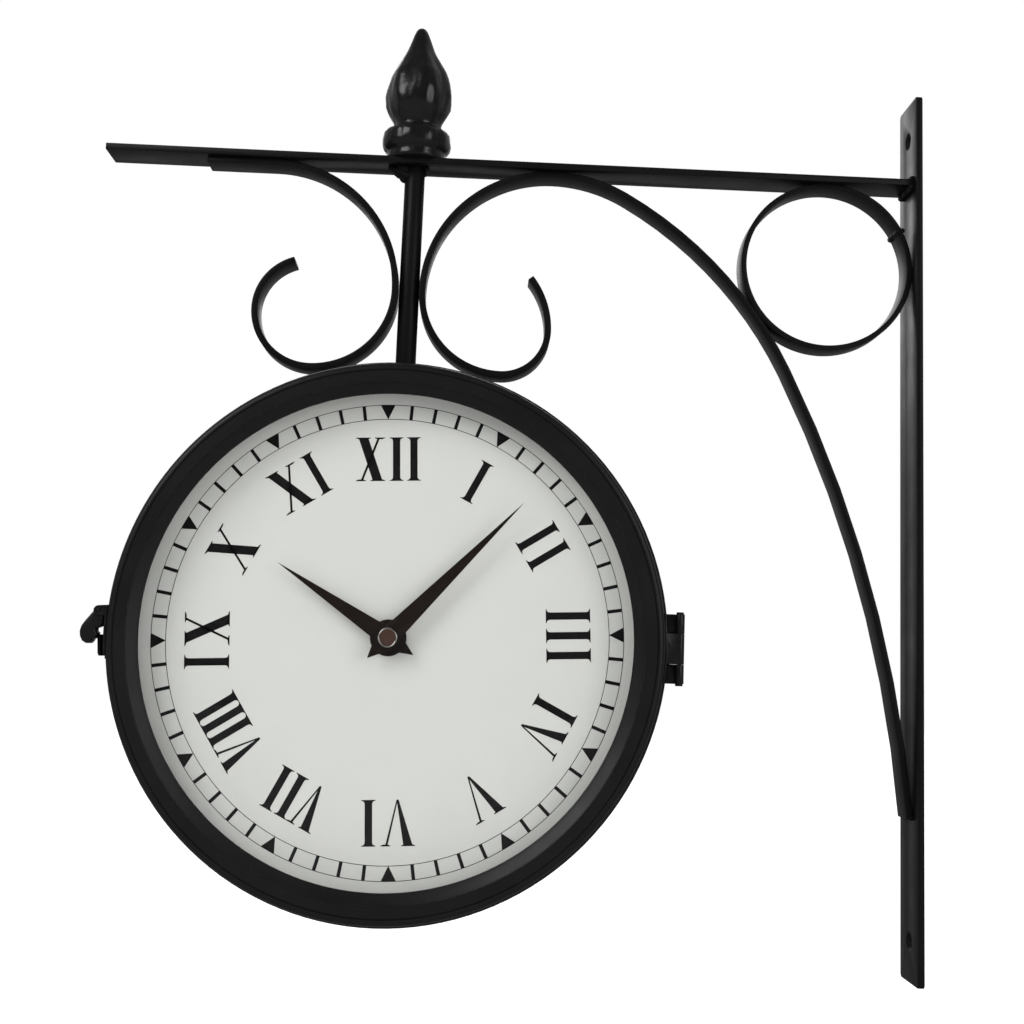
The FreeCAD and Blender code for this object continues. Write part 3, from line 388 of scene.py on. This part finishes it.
LEFT_LEAD = 32.0
left_start = Vector((-BESIDE_POST - CROWN - LEFT_LEAD, UNDER_ARM))
strip_piece("left_scroll_strip",
            [(left_start, 0.0, [(LEFT_LEAD, 0), (CROWN, -90), (38.0, -90), (26.75, -90),
                                (24.7, -73)])], "left_scroll")

# The arch is three arcs. The first has a set radius; the other two are solved, so that the strip
# ends with its back on the wall plate at the arch's foot.
REACH = POST_TO_WALL - PLATE_GAUGE - WELD_GAP
SHOULDER = 72.0
HEADINGS = (0.0, 29.0, 63.3, 85.0)
top = Vector((BESIDE_POST + CROWN, UNDER_ARM))
angles = [math.radians(heading) for heading in HEADINGS]
arch_runs = [math.sin(end) - math.sin(begin) for begin, end in zip(angles, angles[1:])]
arch_falls = [math.cos(begin) - math.cos(end) for begin, end in zip(angles, angles[1:])]
foot_lean = math.radians(90.0 - HEADINGS[-1])
run_left = REACH - STRIP_GAUGE / 2 * math.cos(foot_lean) - top.x - SHOULDER * arch_runs[0]
fall_left = ARCH_FOOT + UNDER_ARM - SHOULDER * arch_falls[0]
spread_sum = arch_runs[1] * arch_falls[2] - arch_runs[2] * arch_falls[1]
middle_radius = (run_left * arch_falls[2] - arch_runs[2] * fall_left) / spread_sum
foot_radius = (arch_runs[1] * fall_left - run_left * arch_falls[1]) / spread_sum
arch_bends = [(radius, begin - end) for radius, begin, end
              in zip((SHOULDER, middle_radius, foot_radius), HEADINGS, HEADINGS[1:])]
strip_piece("right_scroll_and_arch",
            [(top, 180.0, [(CROWN, 90), (38.0, 90), (21.5, 90), (40.0, 39)]),
             (top, 0.0, arch_bends)], "right_scroll_arch")

ring_low, ring_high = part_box("brace_ring")
ring_outside = (ring_high.x - ring_low.x) / 2
ring_inside = ring_outside - RING_GAUGE * MM
ring_centre = (ring_low + ring_high) / 2
bm = bmesh.new()
corners = [bm.verts.new(ring_centre + Vector((0.0, out * STRIP_WIDTH / 2 * MM, -reach)))
           for reach, out in ((ring_outside, -1), (ring_outside, 1),
                              (ring_inside, 1), (ring_inside, -1))]
section = bm.faces.new(corners)
bmesh.ops.spin(bm, geom=list(section.edges), cent=ring_centre, axis=(0.0, 1.0, 0.0), steps=120,
               angle=2 * math.pi, use_merge=True)
bmesh.ops.delete(bm, geom=[face for face in bm.faces if abs(face.normal.y) < 0.01
                           and all(abs(vert.co.x - ring_centre.x) < 1e-6 for vert in face.verts)],
                 context="FACES")
bmesh.ops.remove_doubles(bm, verts=bm.verts, dist=1e-7)
bmesh.ops.recalc_face_normals(bm, faces=bm.faces)
soften(bm, STRIP_EDGE, over=50.0)
piece("corner_ring", bm, "bracket", [bracket_paint], ["brace_ring"])
bm.free()

# ---------------------------------------------------------------- post, rod and clamp
# Steel tube between the arm and the case, painted with the bracket. A zinc plated rod runs
# through it into the finial, and a washer and nut on it clamp the case from inside.



def dress(node, material):
    """The material on a CAD node that is shown as it is."""
    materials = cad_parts[node].data.materials
    materials.clear()
    materials.append(material)


eased("post", 0.2 * MM, bracket_paint, "bracket")
zinc = finish("zinc_plate", (0.42, 0.42, 0.44), (0.58, 0.58, 0.60), 0.28, 0.45, metallic=1.0,
              patch=300.0, peel_size=2500.0, peel_depth=0.01)
for node in ("tie_rod", "clamp_washer", "clamp_nut"):
    dress(node, zinc)

# ---------------------------------------------------------------- finial
# Sand cast iron bud on a collar with a full round rim, screwed down on the arm over the rod.
# Thick gloss black paint fills the casting and leaves soft lengthwise swellings on the bud.

BUD_FOOT = 16.2
BUD_TOP = 68.0
LOBES = 6
LOBE_DEPTH = 0.042
LOBE_TWIST = 1.9
COARSE_LUMPS, COARSE_DEPTH = 160.0, 0.035
FINE_LUMPS, FINE_DEPTH = 420.0, 0.022
COLLAR_MOST = 1.02
FINIAL_LINE = [(0.0, 0.0), (13.8, 0.0), (14.2, 0.6), (14.0, 2.2), (13.8, 3.6), (14.0, 4.4),
               (14.8, 5.0), (15.8, 6.4), (16.3, 8.6), (16.3, 11.2), (15.9, 13.2), (14.8, 14.7),
               (13.2, 15.5), (11.6, 15.9), (11.0, 16.6), (11.1, 18.0), (11.6, 19.6),
               (12.7, 21.5), (14.1, 24.3), (14.9, 26.8), (15.3, 29.5), (15.4, 32.5),
               (15.1, 35.8), (14.5, 39.4), (13.5, 42.8), (12.4, 45.2), (10.9, 47.9), (9.5, 50.6),
               (8.1, 53.2), (6.9, 55.8), (5.7, 58.8), (4.6, 61.6), (3.7, 64.0), (2.9, 66.0),
               (2.0, 67.2), (0.9, 67.85), (0.0, BUD_TOP)]
bm = bmesh.new()
line = [bm.verts.new(bracket_spot(reach, 0.0, rise)) for reach, rise in FINIAL_LINE]
outline = [bm.edges.new(pair) for pair in zip(line, line[1:])]
bmesh.ops.spin(bm, geom=line + outline, cent=bracket_spot(0, 0, 0), axis=(0.0, 0.0, 1.0),
               steps=120, angle=2 * math.pi, use_merge=True)
bmesh.ops.remove_doubles(bm, verts=bm.verts, dist=1e-6)
bmesh.ops.recalc_face_normals(bm, faces=bm.faces)
for vert in bm.verts:
    rise = (vert.co.z - ARM_TOP) / MM
    across = vert.co.x - POST_X
    angle = math.atan2(vert.co.y, across)
    swell = 1.0
    if rise > BUD_FOOT:
        height = (rise - BUD_FOOT) / (BUD_TOP - BUD_FOOT)
        fullness = math.sin(math.pi * min(1.0, height * 1.15)) ** 0.7 if height < 0.86 else 0.3
        swell += LOBE_DEPTH * fullness * math.cos(LOBES * angle + LOBE_TWIST * height)
    if rise > 0.6:
        swell += (COARSE_DEPTH * noise.noise(vert.co * COARSE_LUMPS)
                  + FINE_DEPTH * noise.noise(vert.co * FINE_LUMPS))
    swell = min(swell, COLLAR_MOST) if rise < BUD_FOOT else swell
    vert.co.x = POST_X + across * swell
    vert.co.y *= swell
finial_paint = finish("gloss_black_enamel", (0.004, 0.004, 0.004), (0.008, 0.008, 0.008),
                      0.19, 0.31, patch=90.0, peel_size=230.0, peel_depth=0.15, specular=0.42)
piece("cast_bud", bm, "bracket", [finial_paint], ["finial"], sharp=70.0)
bm.free()

# ---------------------------------------------------------------- weld beads
# Short fillets of weld where bar meets bar, which hold the bracket together: rows of overlapping
# lumps on the arm, the plate, the ring, the scrolls and the post, painted over.

LUMP_STEP = 0.8
LUMP_UNEVEN = 0.18
LUMP_WANDER = 0.25
LUMP_SEED = 5
WELDS = [
    # from and to: (beside the post, towards the viewer, above the arm's top), and the lumps' radii
    ((236.0, -9.0, -3.6), (236.0, 9.0, -3.6), 1.7, 1.7),
    ((236.2, -9.0, 0.6), (236.2, 9.0, 0.6), 1.5, 1.5),
    ((-11.5, 3.0, -3.8), (-4.2, 2.6, -6.8), 1.3, 2.6),
    ((-11.0, 0.0, -3.8), (-4.6, 0.0, -7.2), 1.3, 2.6),
    ((-10.0, -3.0, -3.8), (-4.0, -2.4, -6.6), 1.3, 2.4),
    ((-6.4, 3.2, -3.6), (-4.6, 2.6, -4.4), 2.0, 2.4),
    ((4.4, -2.5, -4.2), (5.6, 3.5, -3.8), 1.5, 1.3),
    ((62.0, -5.0, -3.1), (62.0, 5.0, -3.1), 0.9, 1.0),
    ((-62.0, -5.0, -3.1), (-62.0, 5.0, -3.1), 0.9, 1.0),
    ((230.2, -6.8, -25.3), (230.2, 6.8, -25.3), 1.6, 1.5),
    ((231.8, -6.8, -23.6), (232.2, 6.8, -24.6), 1.4, 1.4),
    ((199.2, -6.0, -3.4), (193.6, 6.0, -3.4), 1.1, 1.1),
    ((236.4, -6.0, -43.6), (236.4, 6.0, -43.6), 1.0, 1.1),
    ((236.0, -6.0, -296.0), (236.0, 6.0, -296.0), 1.4, 1.3),
]
# The noise vector is seeded from the clock unless it is given a seed.
noise.seed_set(LUMP_SEED)
bm = bmesh.new()
for begin, end, first_radius, last_radius in WELDS:
    start_spot = bracket_spot(*begin)
    end_spot = bracket_spot(*end)
    mean_radius = (first_radius + last_radius) / 2
    count = max(2, round((end_spot - start_spot).length / (mean_radius * LUMP_STEP * MM)))
    for lump in range(count + 1):
        spot = start_spot.lerp(end_spot, lump / count)
        radius = first_radius + (last_radius - first_radius) * lump / count
        size = radius * MM * (1.0 + LUMP_UNEVEN * noise.noise(spot * 900.0))
        spot = spot + noise.noise_vector(spot * 500.0) * LUMP_WANDER * radius * MM
        bmesh.ops.create_icosphere(bm, subdivisions=2, radius=size,
                                   matrix=Matrix.Translation(spot))
piece("weld_beads", bm, "bracket", [bracket_paint], sharp=80.0)
bm.free()

# ---------------------------------------------------------------- case and doors
# Case: rolled steel band with a lip turned in at each end. Doors: spun steel bezels with a round
# outer corner, a flat face, a step and a slope down to the glass. Both sprayed satin black.

DIAL_DROP = 0.2255
DIAL_HEIGHT = ARM_TOP - DIAL_DROP
DIAL_CENTRE = Vector((POST_X, 0.0, DIAL_HEIGHT))
SIDES = (("front", 0.0), ("rear", math.pi))


def head_spot(across, rise, out):
    """A point of the front half from millimetres right of, above and in front of the centre."""
    return Vector((POST_X + across * MM, -out * MM, DIAL_HEIGHT + rise * MM))


def lathe(line, steps=192):
    """A turned piece about the dial's axis from a closed line of (radius, out) in millimetres."""
    bm = bmesh.new()
    verts = [bm.verts.new(head_spot(reach, 0.0, out)) for reach, out in line]
    edges = [bm.edges.new((verts[step], verts[step - 1])) for step in range(len(line))
             if line[step][0] or line[step - 1][0]]
    bmesh.ops.spin(bm, geom=verts + edges, cent=DIAL_CENTRE, axis=(0.0, 1.0, 0.0), steps=steps,
                   angle=2 * math.pi, use_merge=True)
    bmesh.ops.remove_doubles(bm, verts=bm.verts, dist=1e-7)
    bmesh.ops.recalc_face_normals(bm, faces=bm.faces)
    return bm


def on_both_sides(name, bm, body, materials, node, sharp=38.0):
    """The same piece on the front and, turned about the post, on the rear."""
    for side, turn in SIDES:
        copy = bm.copy()
        bmesh.ops.rotate(copy, cent=DIAL_CENTRE, matrix=Matrix.Rotation(turn, 3, "Z"),
                         verts=copy.verts)
        carrier = body if body == "head" else side + "_" + body
        piece(side + "_" + name, copy, carrier, materials,
              [side + "_" + node] if node else (), sharp)
        copy.free()
    bm.free()


def rounded(corner_reach, corner_out, radius, begin, end, steps=6):
    """Points of an arc about a centre, angles in degrees from the radial direction."""
    angles = [math.radians(begin + (end - begin) * step / steps) for step in range(steps + 1)]
    return [(corner_reach + radius * math.cos(angle), corner_out + radius * math.sin(angle))
            for angle in angles]


case_paint = finish("satin_black_case", (0.006, 0.006, 0.006), (0.010, 0.010, 0.010),
                    0.30, 0.42, patch=30.0, peel_size=800.0, peel_depth=0.010, specular=0.25)
eased("case_band", 0.35 * MM, case_paint, "head")

# Outline of the bezel, from its edge over the face and down the slope, then back along the inside.
BEZEL_LINE = ([(120.0, 30.4)] + rounded(117.4, 39.4, 2.6, 0, 90)
              + [(117.1, 41.98), (116.75, 41.6), (116.4, 42.0), (112.4, 42.0)]
              + rounded(111.8, 41.5, 0.5, 90, 200, 4)
              + [(110.6, 40.9), (108.0, 39.4), (107.0, 38.9)]
              + rounded(106.9, 38.5, 0.35, 120, 180, 3)
              + [(106.55, 37.6), (107.6, 37.6), (107.6, 38.5), (111.6, 41.0)]
              + rounded(117.2, 39.2, 1.8, 90, 0, 4) + [(119.0, 30.4)])
on_both_sides("bezel_ring", lathe(BEZEL_LINE), "door", [case_paint], "bezel",
              sharp=30.0)

# ---------------------------------------------------------------- dials
# Sheet steel discs, sprayed off white and screen printed in black: a chapter ring of sixty bars
# with a triangle each five minutes, and upright Roman numerals with their feet to the centre.

PRINT_TURN = -2.9
INK_BACK = 23.97
INK_FRONT = 24.05
RING_OUTER = 103.1
RING_INNER = 96.7
HAIRLINE = 0.28
BAR_HALF = 0.75
TRIANGLE_HALF = 3.3
TRIANGLE_DEPTH = 6.5
NUMERAL_FOOT = 69.0
NUMERAL_HEIGHT = 19.5
STEM_HALF = 1.6
SERIF_HALF = 3.05


def print_shape(bm, outline, turn):
    """One printed shape: an outline of (across, up) in millimetres, turned clockwise."""
    swing = math.radians(turn)
    verts = []
    for across, rise in outline:
        verts.append(bm.verts.new(head_spot(across * math.cos(swing) + rise * math.sin(swing),
                                            -across * math.sin(swing) + rise * math.cos(swing),
                                            INK_FRONT)))
    face = bm.faces.new(verts)
    grown = bmesh.ops.extrude_face_region(bm, geom=[face])["geom"]
    bmesh.ops.translate(bm, vec=(0.0, (INK_FRONT - INK_BACK) * MM, 0.0),
                        verts=only(grown, bmesh.types.BMVert))


def put_in(bm, part):
    """Adds one mesh to another and frees it."""
    carried = bpy.data.meshes.new("carried")
    part.to_mesh(carried)
    part.free()
    bm.from_mesh(carried)
    bpy.data.meshes.remove(carried)


def mirrored(right_side):
    """A closed outline from its right hand points, foot to head."""
    return right_side + [(-across, rise) for across, rise in reversed(right_side)]


def shifted(outline, across):
    return [(spot[0] + across, spot[1] + NUMERAL_FOOT) for spot in outline]


def stem(middle):
    """An upright stroke with a serif at head and foot."""
    foot = [(SERIF_HALF, 0.0), (SERIF_HALF, 0.3), (STEM_HALF + 0.7, 0.55), (STEM_HALF + 0.2, 0.95),
            (STEM_HALF, 1.7)]
    head = [(reach, NUMERAL_HEIGHT - rise) for reach, rise in reversed(foot)]
    return shifted(mirrored(foot + head), middle)


def serif(left, right, head):
    """A thin bar across the end of a slanting stroke, thicker in its middle."""
    shape = [(left, 0.0), (right, 0.0), (right, 0.3), (right - 1.2, 0.75), (left + 1.2, 0.75),
             (left, 0.3)]
    if head:
        shape = [(across, NUMERAL_HEIGHT - rise) for across, rise in shape]
    return shifted(shape, 0.0)


def slant(foot_left, foot_right, head_left, head_right):
    return shifted([(foot_left, 0.0), (foot_right, 0.0), (head_right, NUMERAL_HEIGHT),
                    (head_left, NUMERAL_HEIGHT)], 0.0)


def letter_x(left, width):
    """A thick stroke falling to the right and a hairline rising to the right."""
    thick = 4.3
    thin = 1.05
    return [
        slant(left + width - thick - 1.1, left + width - 1.1, left + 1.1, left + 1.1 + thick),
        slant(left + 2.0, left + 2.0 + thin, left + width - 2.2 - thin, left + width - 2.2),
        serif(left, left + thick + 2.2, True), serif(left + width - 4.6, left + width, True),
        serif(left, left + 4.4, False), serif(left + width - thick - 2.2, left + width, False)]


def letter_v(left, width):
    """A thick stroke and a hairline that meet in a point at the foot."""
    thick = 4.0
    thin = 1.0
    point = left + width * 0.5
    return [
        slant(point - 0.35, point + 0.5, left + 1.0, left + 1.0 + thick),
        slant(point - 0.05, point + 0.5, left + width - 1.9 - thin, left + width - 1.9),
        serif(left, left + thick + 2.0, True), serif(left + width - 4.2, left + width, True)]


# One entry an hour from one o'clock: the numeral's width, its stems' middles, and V or X places.
NUMERALS = [
    (6.0, [3.0], []),
    (15.3, [3.0, 12.3], []),
    (23.2, [3.0, 11.6, 20.2], []),
    (22.5, [3.0], [("v", 8.2, 14.3)]),
    (15.0, [], [("v", 0.0, 15.0)]),
    (23.0, [20.0], [("v", 0.0, 14.8)]),
    (25.2, [15.1, 22.2], [("v", 0.0, 12.2)]),
    (30.2, [15.3, 21.3, 27.3], [("v", 0.0, 12.2)]),
    (24.6, [2.9], [("x", 9.8, 14.8)]),
    (15.6, [], [("x", 0.0, 15.6)]),
    (23.6, [20.6], [("x", 0.0, 14.8)]),
    (28.6, [18.0, 25.7], [("x", 0.0, 12.9)]),
]

bm = bmesh.new()
for hour, (width, stems, letters) in enumerate(NUMERALS, start=1):
    shapes = [stem(middle) for middle in stems]
    for kind, left, letter_width in letters:
        shapes += (letter_x if kind == "x" else letter_v)(left, letter_width)
    for shape in shapes:
        print_shape(bm, [(across - width / 2, rise) for across, rise in shape],
                    30.0 * hour + PRINT_TURN)
for minute in range(60):
    if minute % 5:
        mark = [(-BAR_HALF, RING_INNER), (BAR_HALF, RING_INNER),
                (BAR_HALF, RING_OUTER), (-BAR_HALF, RING_OUTER)]
    else:
        mark = [(0.0, RING_OUTER - TRIANGLE_DEPTH), (TRIANGLE_HALF, RING_OUTER),
                (-TRIANGLE_HALF, RING_OUTER)]
    print_shape(bm, mark, 6.0 * minute + PRINT_TURN)
for radius in (RING_INNER, RING_OUTER):
    inside, outside = radius - HAIRLINE / 2, radius + HAIRLINE / 2
    put_in(bm, lathe([(inside, INK_BACK), (outside, INK_BACK),
                      (outside, INK_FRONT), (inside, INK_FRONT)], steps=180))
bmesh.ops.recalc_face_normals(bm, faces=bm.faces)
ink = finish("printing_ink", (0.004, 0.004, 0.005), (0.009, 0.008, 0.008), 0.38, 0.55,
             patch=220.0, peel_size=1800.0, peel_depth=0.004, specular=0.15)
on_both_sides("dial_print", bm, "head", [ink], None)

enamel = finish("dial_enamel", (0.665, 0.678, 0.642), (0.705, 0.716, 0.682), 0.38, 0.52, patch=25.0,
                peel_size=1200.0, peel_depth=0.006)
for side, _ in SIDES:
    dress(side + "_dial", enamel)

# ---------------------------------------------------------------- glasses
# Plain 2 mm float glass cut round, held in each bezel from behind by four bent clips of zinc
# plated steel. The lugs and the screws that hold the dials are plated in the same way.

clear_glass = bpy.data.materials.new("float_glass")
clear_glass.use_nodes = True
tree = clear_glass.node_tree
shader = tree.nodes["Principled BSDF"]
shader.inputs["Base Color"].default_value = (1.0, 1.0, 0.995, 1.0)
shader.inputs["IOR"].default_value = 1.5
shader.inputs["Specular IOR Level"].default_value = 0.15
shader.inputs["Transmission Weight"].default_value = 1.0
dust = add_node(tree, "ShaderNodeTexNoise")
dust.inputs["Scale"].default_value = 40.0
dust.inputs["Detail"].default_value = 5.0
dust_spread = add_node(tree, "ShaderNodeMapRange")
dust_spread.inputs["From Min"].default_value = 0.45
dust_spread.inputs["From Max"].default_value = 0.8
dust_spread.inputs["To Max"].default_value = 0.06
join(tree, add_node(tree, "ShaderNodeTexCoord").outputs["Object"], dust.inputs["Vector"])
join(tree, dust.outputs["Fac"], dust_spread.inputs["Value"])
join(tree, dust_spread.outputs["Result"], shader.inputs["Roughness"])
# The dial's shadows, soft light and gloss reach through the pane as if it were open.
path = add_node(tree, "ShaderNodeLightPath")
clear = add_node(tree, "ShaderNodeBsdfTransparent")
either_glass = add_node(tree, "ShaderNodeMixShader")
lets_light_in = combined(tree, "MAXIMUM", path.outputs["Is Shadow Ray"],
                         path.outputs["Is Diffuse Ray"])
join(tree, combined(tree, "MAXIMUM", lets_light_in, path.outputs["Is Glossy Ray"]),
     either_glass.inputs[0])
join(tree, shader.outputs[0], either_glass.inputs[1])
join(tree, clear.outputs[0], either_glass.inputs[2])
join(tree, either_glass.outputs[0], tree.nodes["Material Output"].inputs["Surface"])
for side, _ in SIDES:
    for node, material in (("_glass", clear_glass), ("_glass_clips", zinc), ("_dial_lugs", zinc)):
        dress(side + node, material)
dress("dial_screws", zinc)

# ---------------------------------------------------------------- hands and centre
# Stamped steel lances, pressed on the hour pipe and the minute arbor, sprayed black over brown
# primer. A round cap nut with a bright turned rim and a dark brown face holds the minute hand.

hand_paint = finish("hand_paint", (0.006, 0.004, 0.003), (0.016, 0.008, 0.006), 0.28, 0.42,
                    patch=70.0, peel_size=1400.0, peel_depth=0.006, specular=0.25)
for side, _ in SIDES:
    eased(side + "_hour_hand", 0.12 * MM, hand_paint, side + "_hour")
    eased(side + "_minute_hand", 0.12 * MM, hand_paint, side + "_minute")
    eased(side + "_dial_washer", 0.15 * MM, hand_paint, "head")
    eased(side + "_bushing_nut", 0.25 * MM, hand_paint, "head")

nickel = finish("turned_nickel", (0.62, 0.60, 0.56), (0.74, 0.72, 0.68), 0.16, 0.28, metallic=1.0,
                patch=500.0, peel_size=3000.0, peel_depth=0.003)
cap_brown = finish("cap_brown", (0.045, 0.020, 0.014), (0.075, 0.034, 0.024), 0.30, 0.42,
                   patch=400.0, peel_size=2600.0, peel_depth=0.004)
CAP_SEAT = 31.5
CAP_FRONT = 33.9
CAP_RADIUS = 4.2
CAP_RIM = 0.35
CAP_BORE = 1.62
BORE_END = 33.05
FACE_SUNK = 0.25
FACE_RADIUS = CAP_RADIUS - 2 * CAP_RIM
cap = lathe([(CAP_BORE, CAP_SEAT), (CAP_RADIUS, CAP_SEAT)]
            + rounded(CAP_RADIUS - CAP_RIM, CAP_FRONT - CAP_RIM, CAP_RIM, 0, 180, 6)
            + [(FACE_RADIUS, CAP_FRONT - FACE_SUNK), (0.0, CAP_FRONT - FACE_SUNK),
               (0.0, BORE_END), (CAP_BORE, BORE_END)], steps=64)
for face in cap.faces:
    middle = face.calc_center_median()
    reach = math.hypot(middle.x - POST_X, middle.z - DIAL_HEIGHT)
    if reach < (FACE_RADIUS - 0.05) * MM and -middle.y > (BORE_END + 0.45) * MM:
        face.material_index = 1
on_both_sides("cap", cap, "minute", [nickel, cap_brown], "cap_nut")

# ---------------------------------------------------------------- hinges and latches
# Small steel butt hinges riveted to case and door, and a curled finger lever on a riveted base
# that springs over a keeper. Everything is sprayed with the case, so it is black all over.

fitting_paint = finish("fitting_black", (0.005, 0.005, 0.005), (0.010, 0.010, 0.010), 0.22, 0.38,
                       patch=160.0, peel_size=1500.0, peel_depth=0.02, specular=0.3)
for side, _ in SIDES:
    for node, body in (("_hinge_case_leaf", "head"), ("_hinge_pin", "head"),
                       ("_latch_keeper", "head"), ("_hinge_door_leaf", side + "_door"),
                       ("_latch_base", side + "_door"), ("_latch_pin", side + "_door")):
        eased(side + node, 0.18 * MM, fitting_paint, body)

# The lever in the latch's own upright frame: a thick finger from the pin down to a rolled end,
# and a spring tongue from it that lies over the keeper. Outlines are (across, up).
LATCH_TURN = math.radians(4.3)
FINGER = [(-121.3, 18.2), (-122.6, 18.3), (-123.8, 17.6), (-126.2, 14.9), (-128.9, 11.9),
          (-130.5, 9.8), (-131.2, 7.6), (-131.1, 5.4), (-130.2, 3.4), (-128.6, 2.3),
          (-126.9, 2.3), (-126.0, 3.3), (-125.5, 4.1), (-124.6, 4.4), (-124.0, 5.2),
          (-123.6, 6.6), (-124.4, 7.4), (-124.3, 8.6), (-123.2, 8.9), (-122.1, 9.4),
          (-121.3, 10.6), (-121.0, 13.6), (-121.0, 15.6)]
TONGUE = [(-124.9, 5.9), (-124.8, -2.2), (-124.3, -3.2), (-123.7, -3.2), (-123.4, -2.4),
          (-123.4, 5.9)]


def latch_bar(bm, outline, back, front, edge):
    """A bar with an upright outline, grown towards the viewer, with rounded edges."""
    swing = Matrix.Rotation(LATCH_TURN, 2)
    spots = [swing @ Vector(spot) for spot in outline]
    face = bm.faces.new([bm.verts.new(head_spot(spot.x, spot.y, front)) for spot in spots])
    grown = bmesh.ops.extrude_face_region(bm, geom=[face])["geom"]
    bmesh.ops.translate(bm, vec=(0.0, (front - back) * MM, 0.0),
                        verts=only(grown, bmesh.types.BMVert))
    rims = [rim for rim in bm.edges
            if len({round(vert.co.y, 6) for vert in rim.verts}) == 1]
    bmesh.ops.bevel(bm, geom=rims, offset=edge * MM, offset_type="OFFSET", affect="EDGES",
                    segments=3, profile=0.5, material=-1, clamp_overlap=True)


lever = bmesh.new()
latch_bar(lever, FINGER, back=32.4, front=39.4, edge=0.9)
tongue = bmesh.new()
latch_bar(tongue, TONGUE, back=23.4, front=34.0, edge=0.3)
put_in(lever, tongue)
bmesh.ops.recalc_face_normals(lever, faces=lever.faces)
on_both_sides("latch_finger", lever, "latch", [fitting_paint], "latch_lever",
              sharp=50.0)

# ---------------------------------------------------------------- movements
# A quartz movement behind each dial: moulded black housing and cover, brass arbor, acetal wheels
# and knob, and a dry cell in a printed sleeve. The bushing nut clamps it to the dial.

plastic = finish("moulded_black", (0.012, 0.012, 0.013), (0.020, 0.020, 0.021), 0.42, 0.58,
                 patch=120.0, peel_size=2600.0, peel_depth=0.02)
brass = finish("turned_brass", (0.62, 0.42, 0.16), (0.76, 0.55, 0.24), 0.22, 0.36, metallic=1.0,
               patch=400.0, peel_size=3000.0, peel_depth=0.004)
acetal = finish("white_acetal", (0.70, 0.69, 0.65), (0.78, 0.77, 0.73), 0.35, 0.50, patch=150.0,
                peel_size=2000.0, peel_depth=0.006)
sleeve = finish("cell_sleeve", (0.09, 0.03, 0.006), (0.34, 0.13, 0.03), 0.22, 0.34, metallic=0.6,
                patch=30.0, peel_size=2000.0, peel_depth=0.004)
for side, _ in SIDES:
    for node, material in (("_movement_housing", plastic), ("_movement_cover", plastic),
                           ("_battery", sleeve), ("_minute_arbor", brass),
                           ("_motion_wheel", acetal), ("_hour_wheel", acetal),
                           ("_setting_knob", acetal)):
        dress(side + node, material)
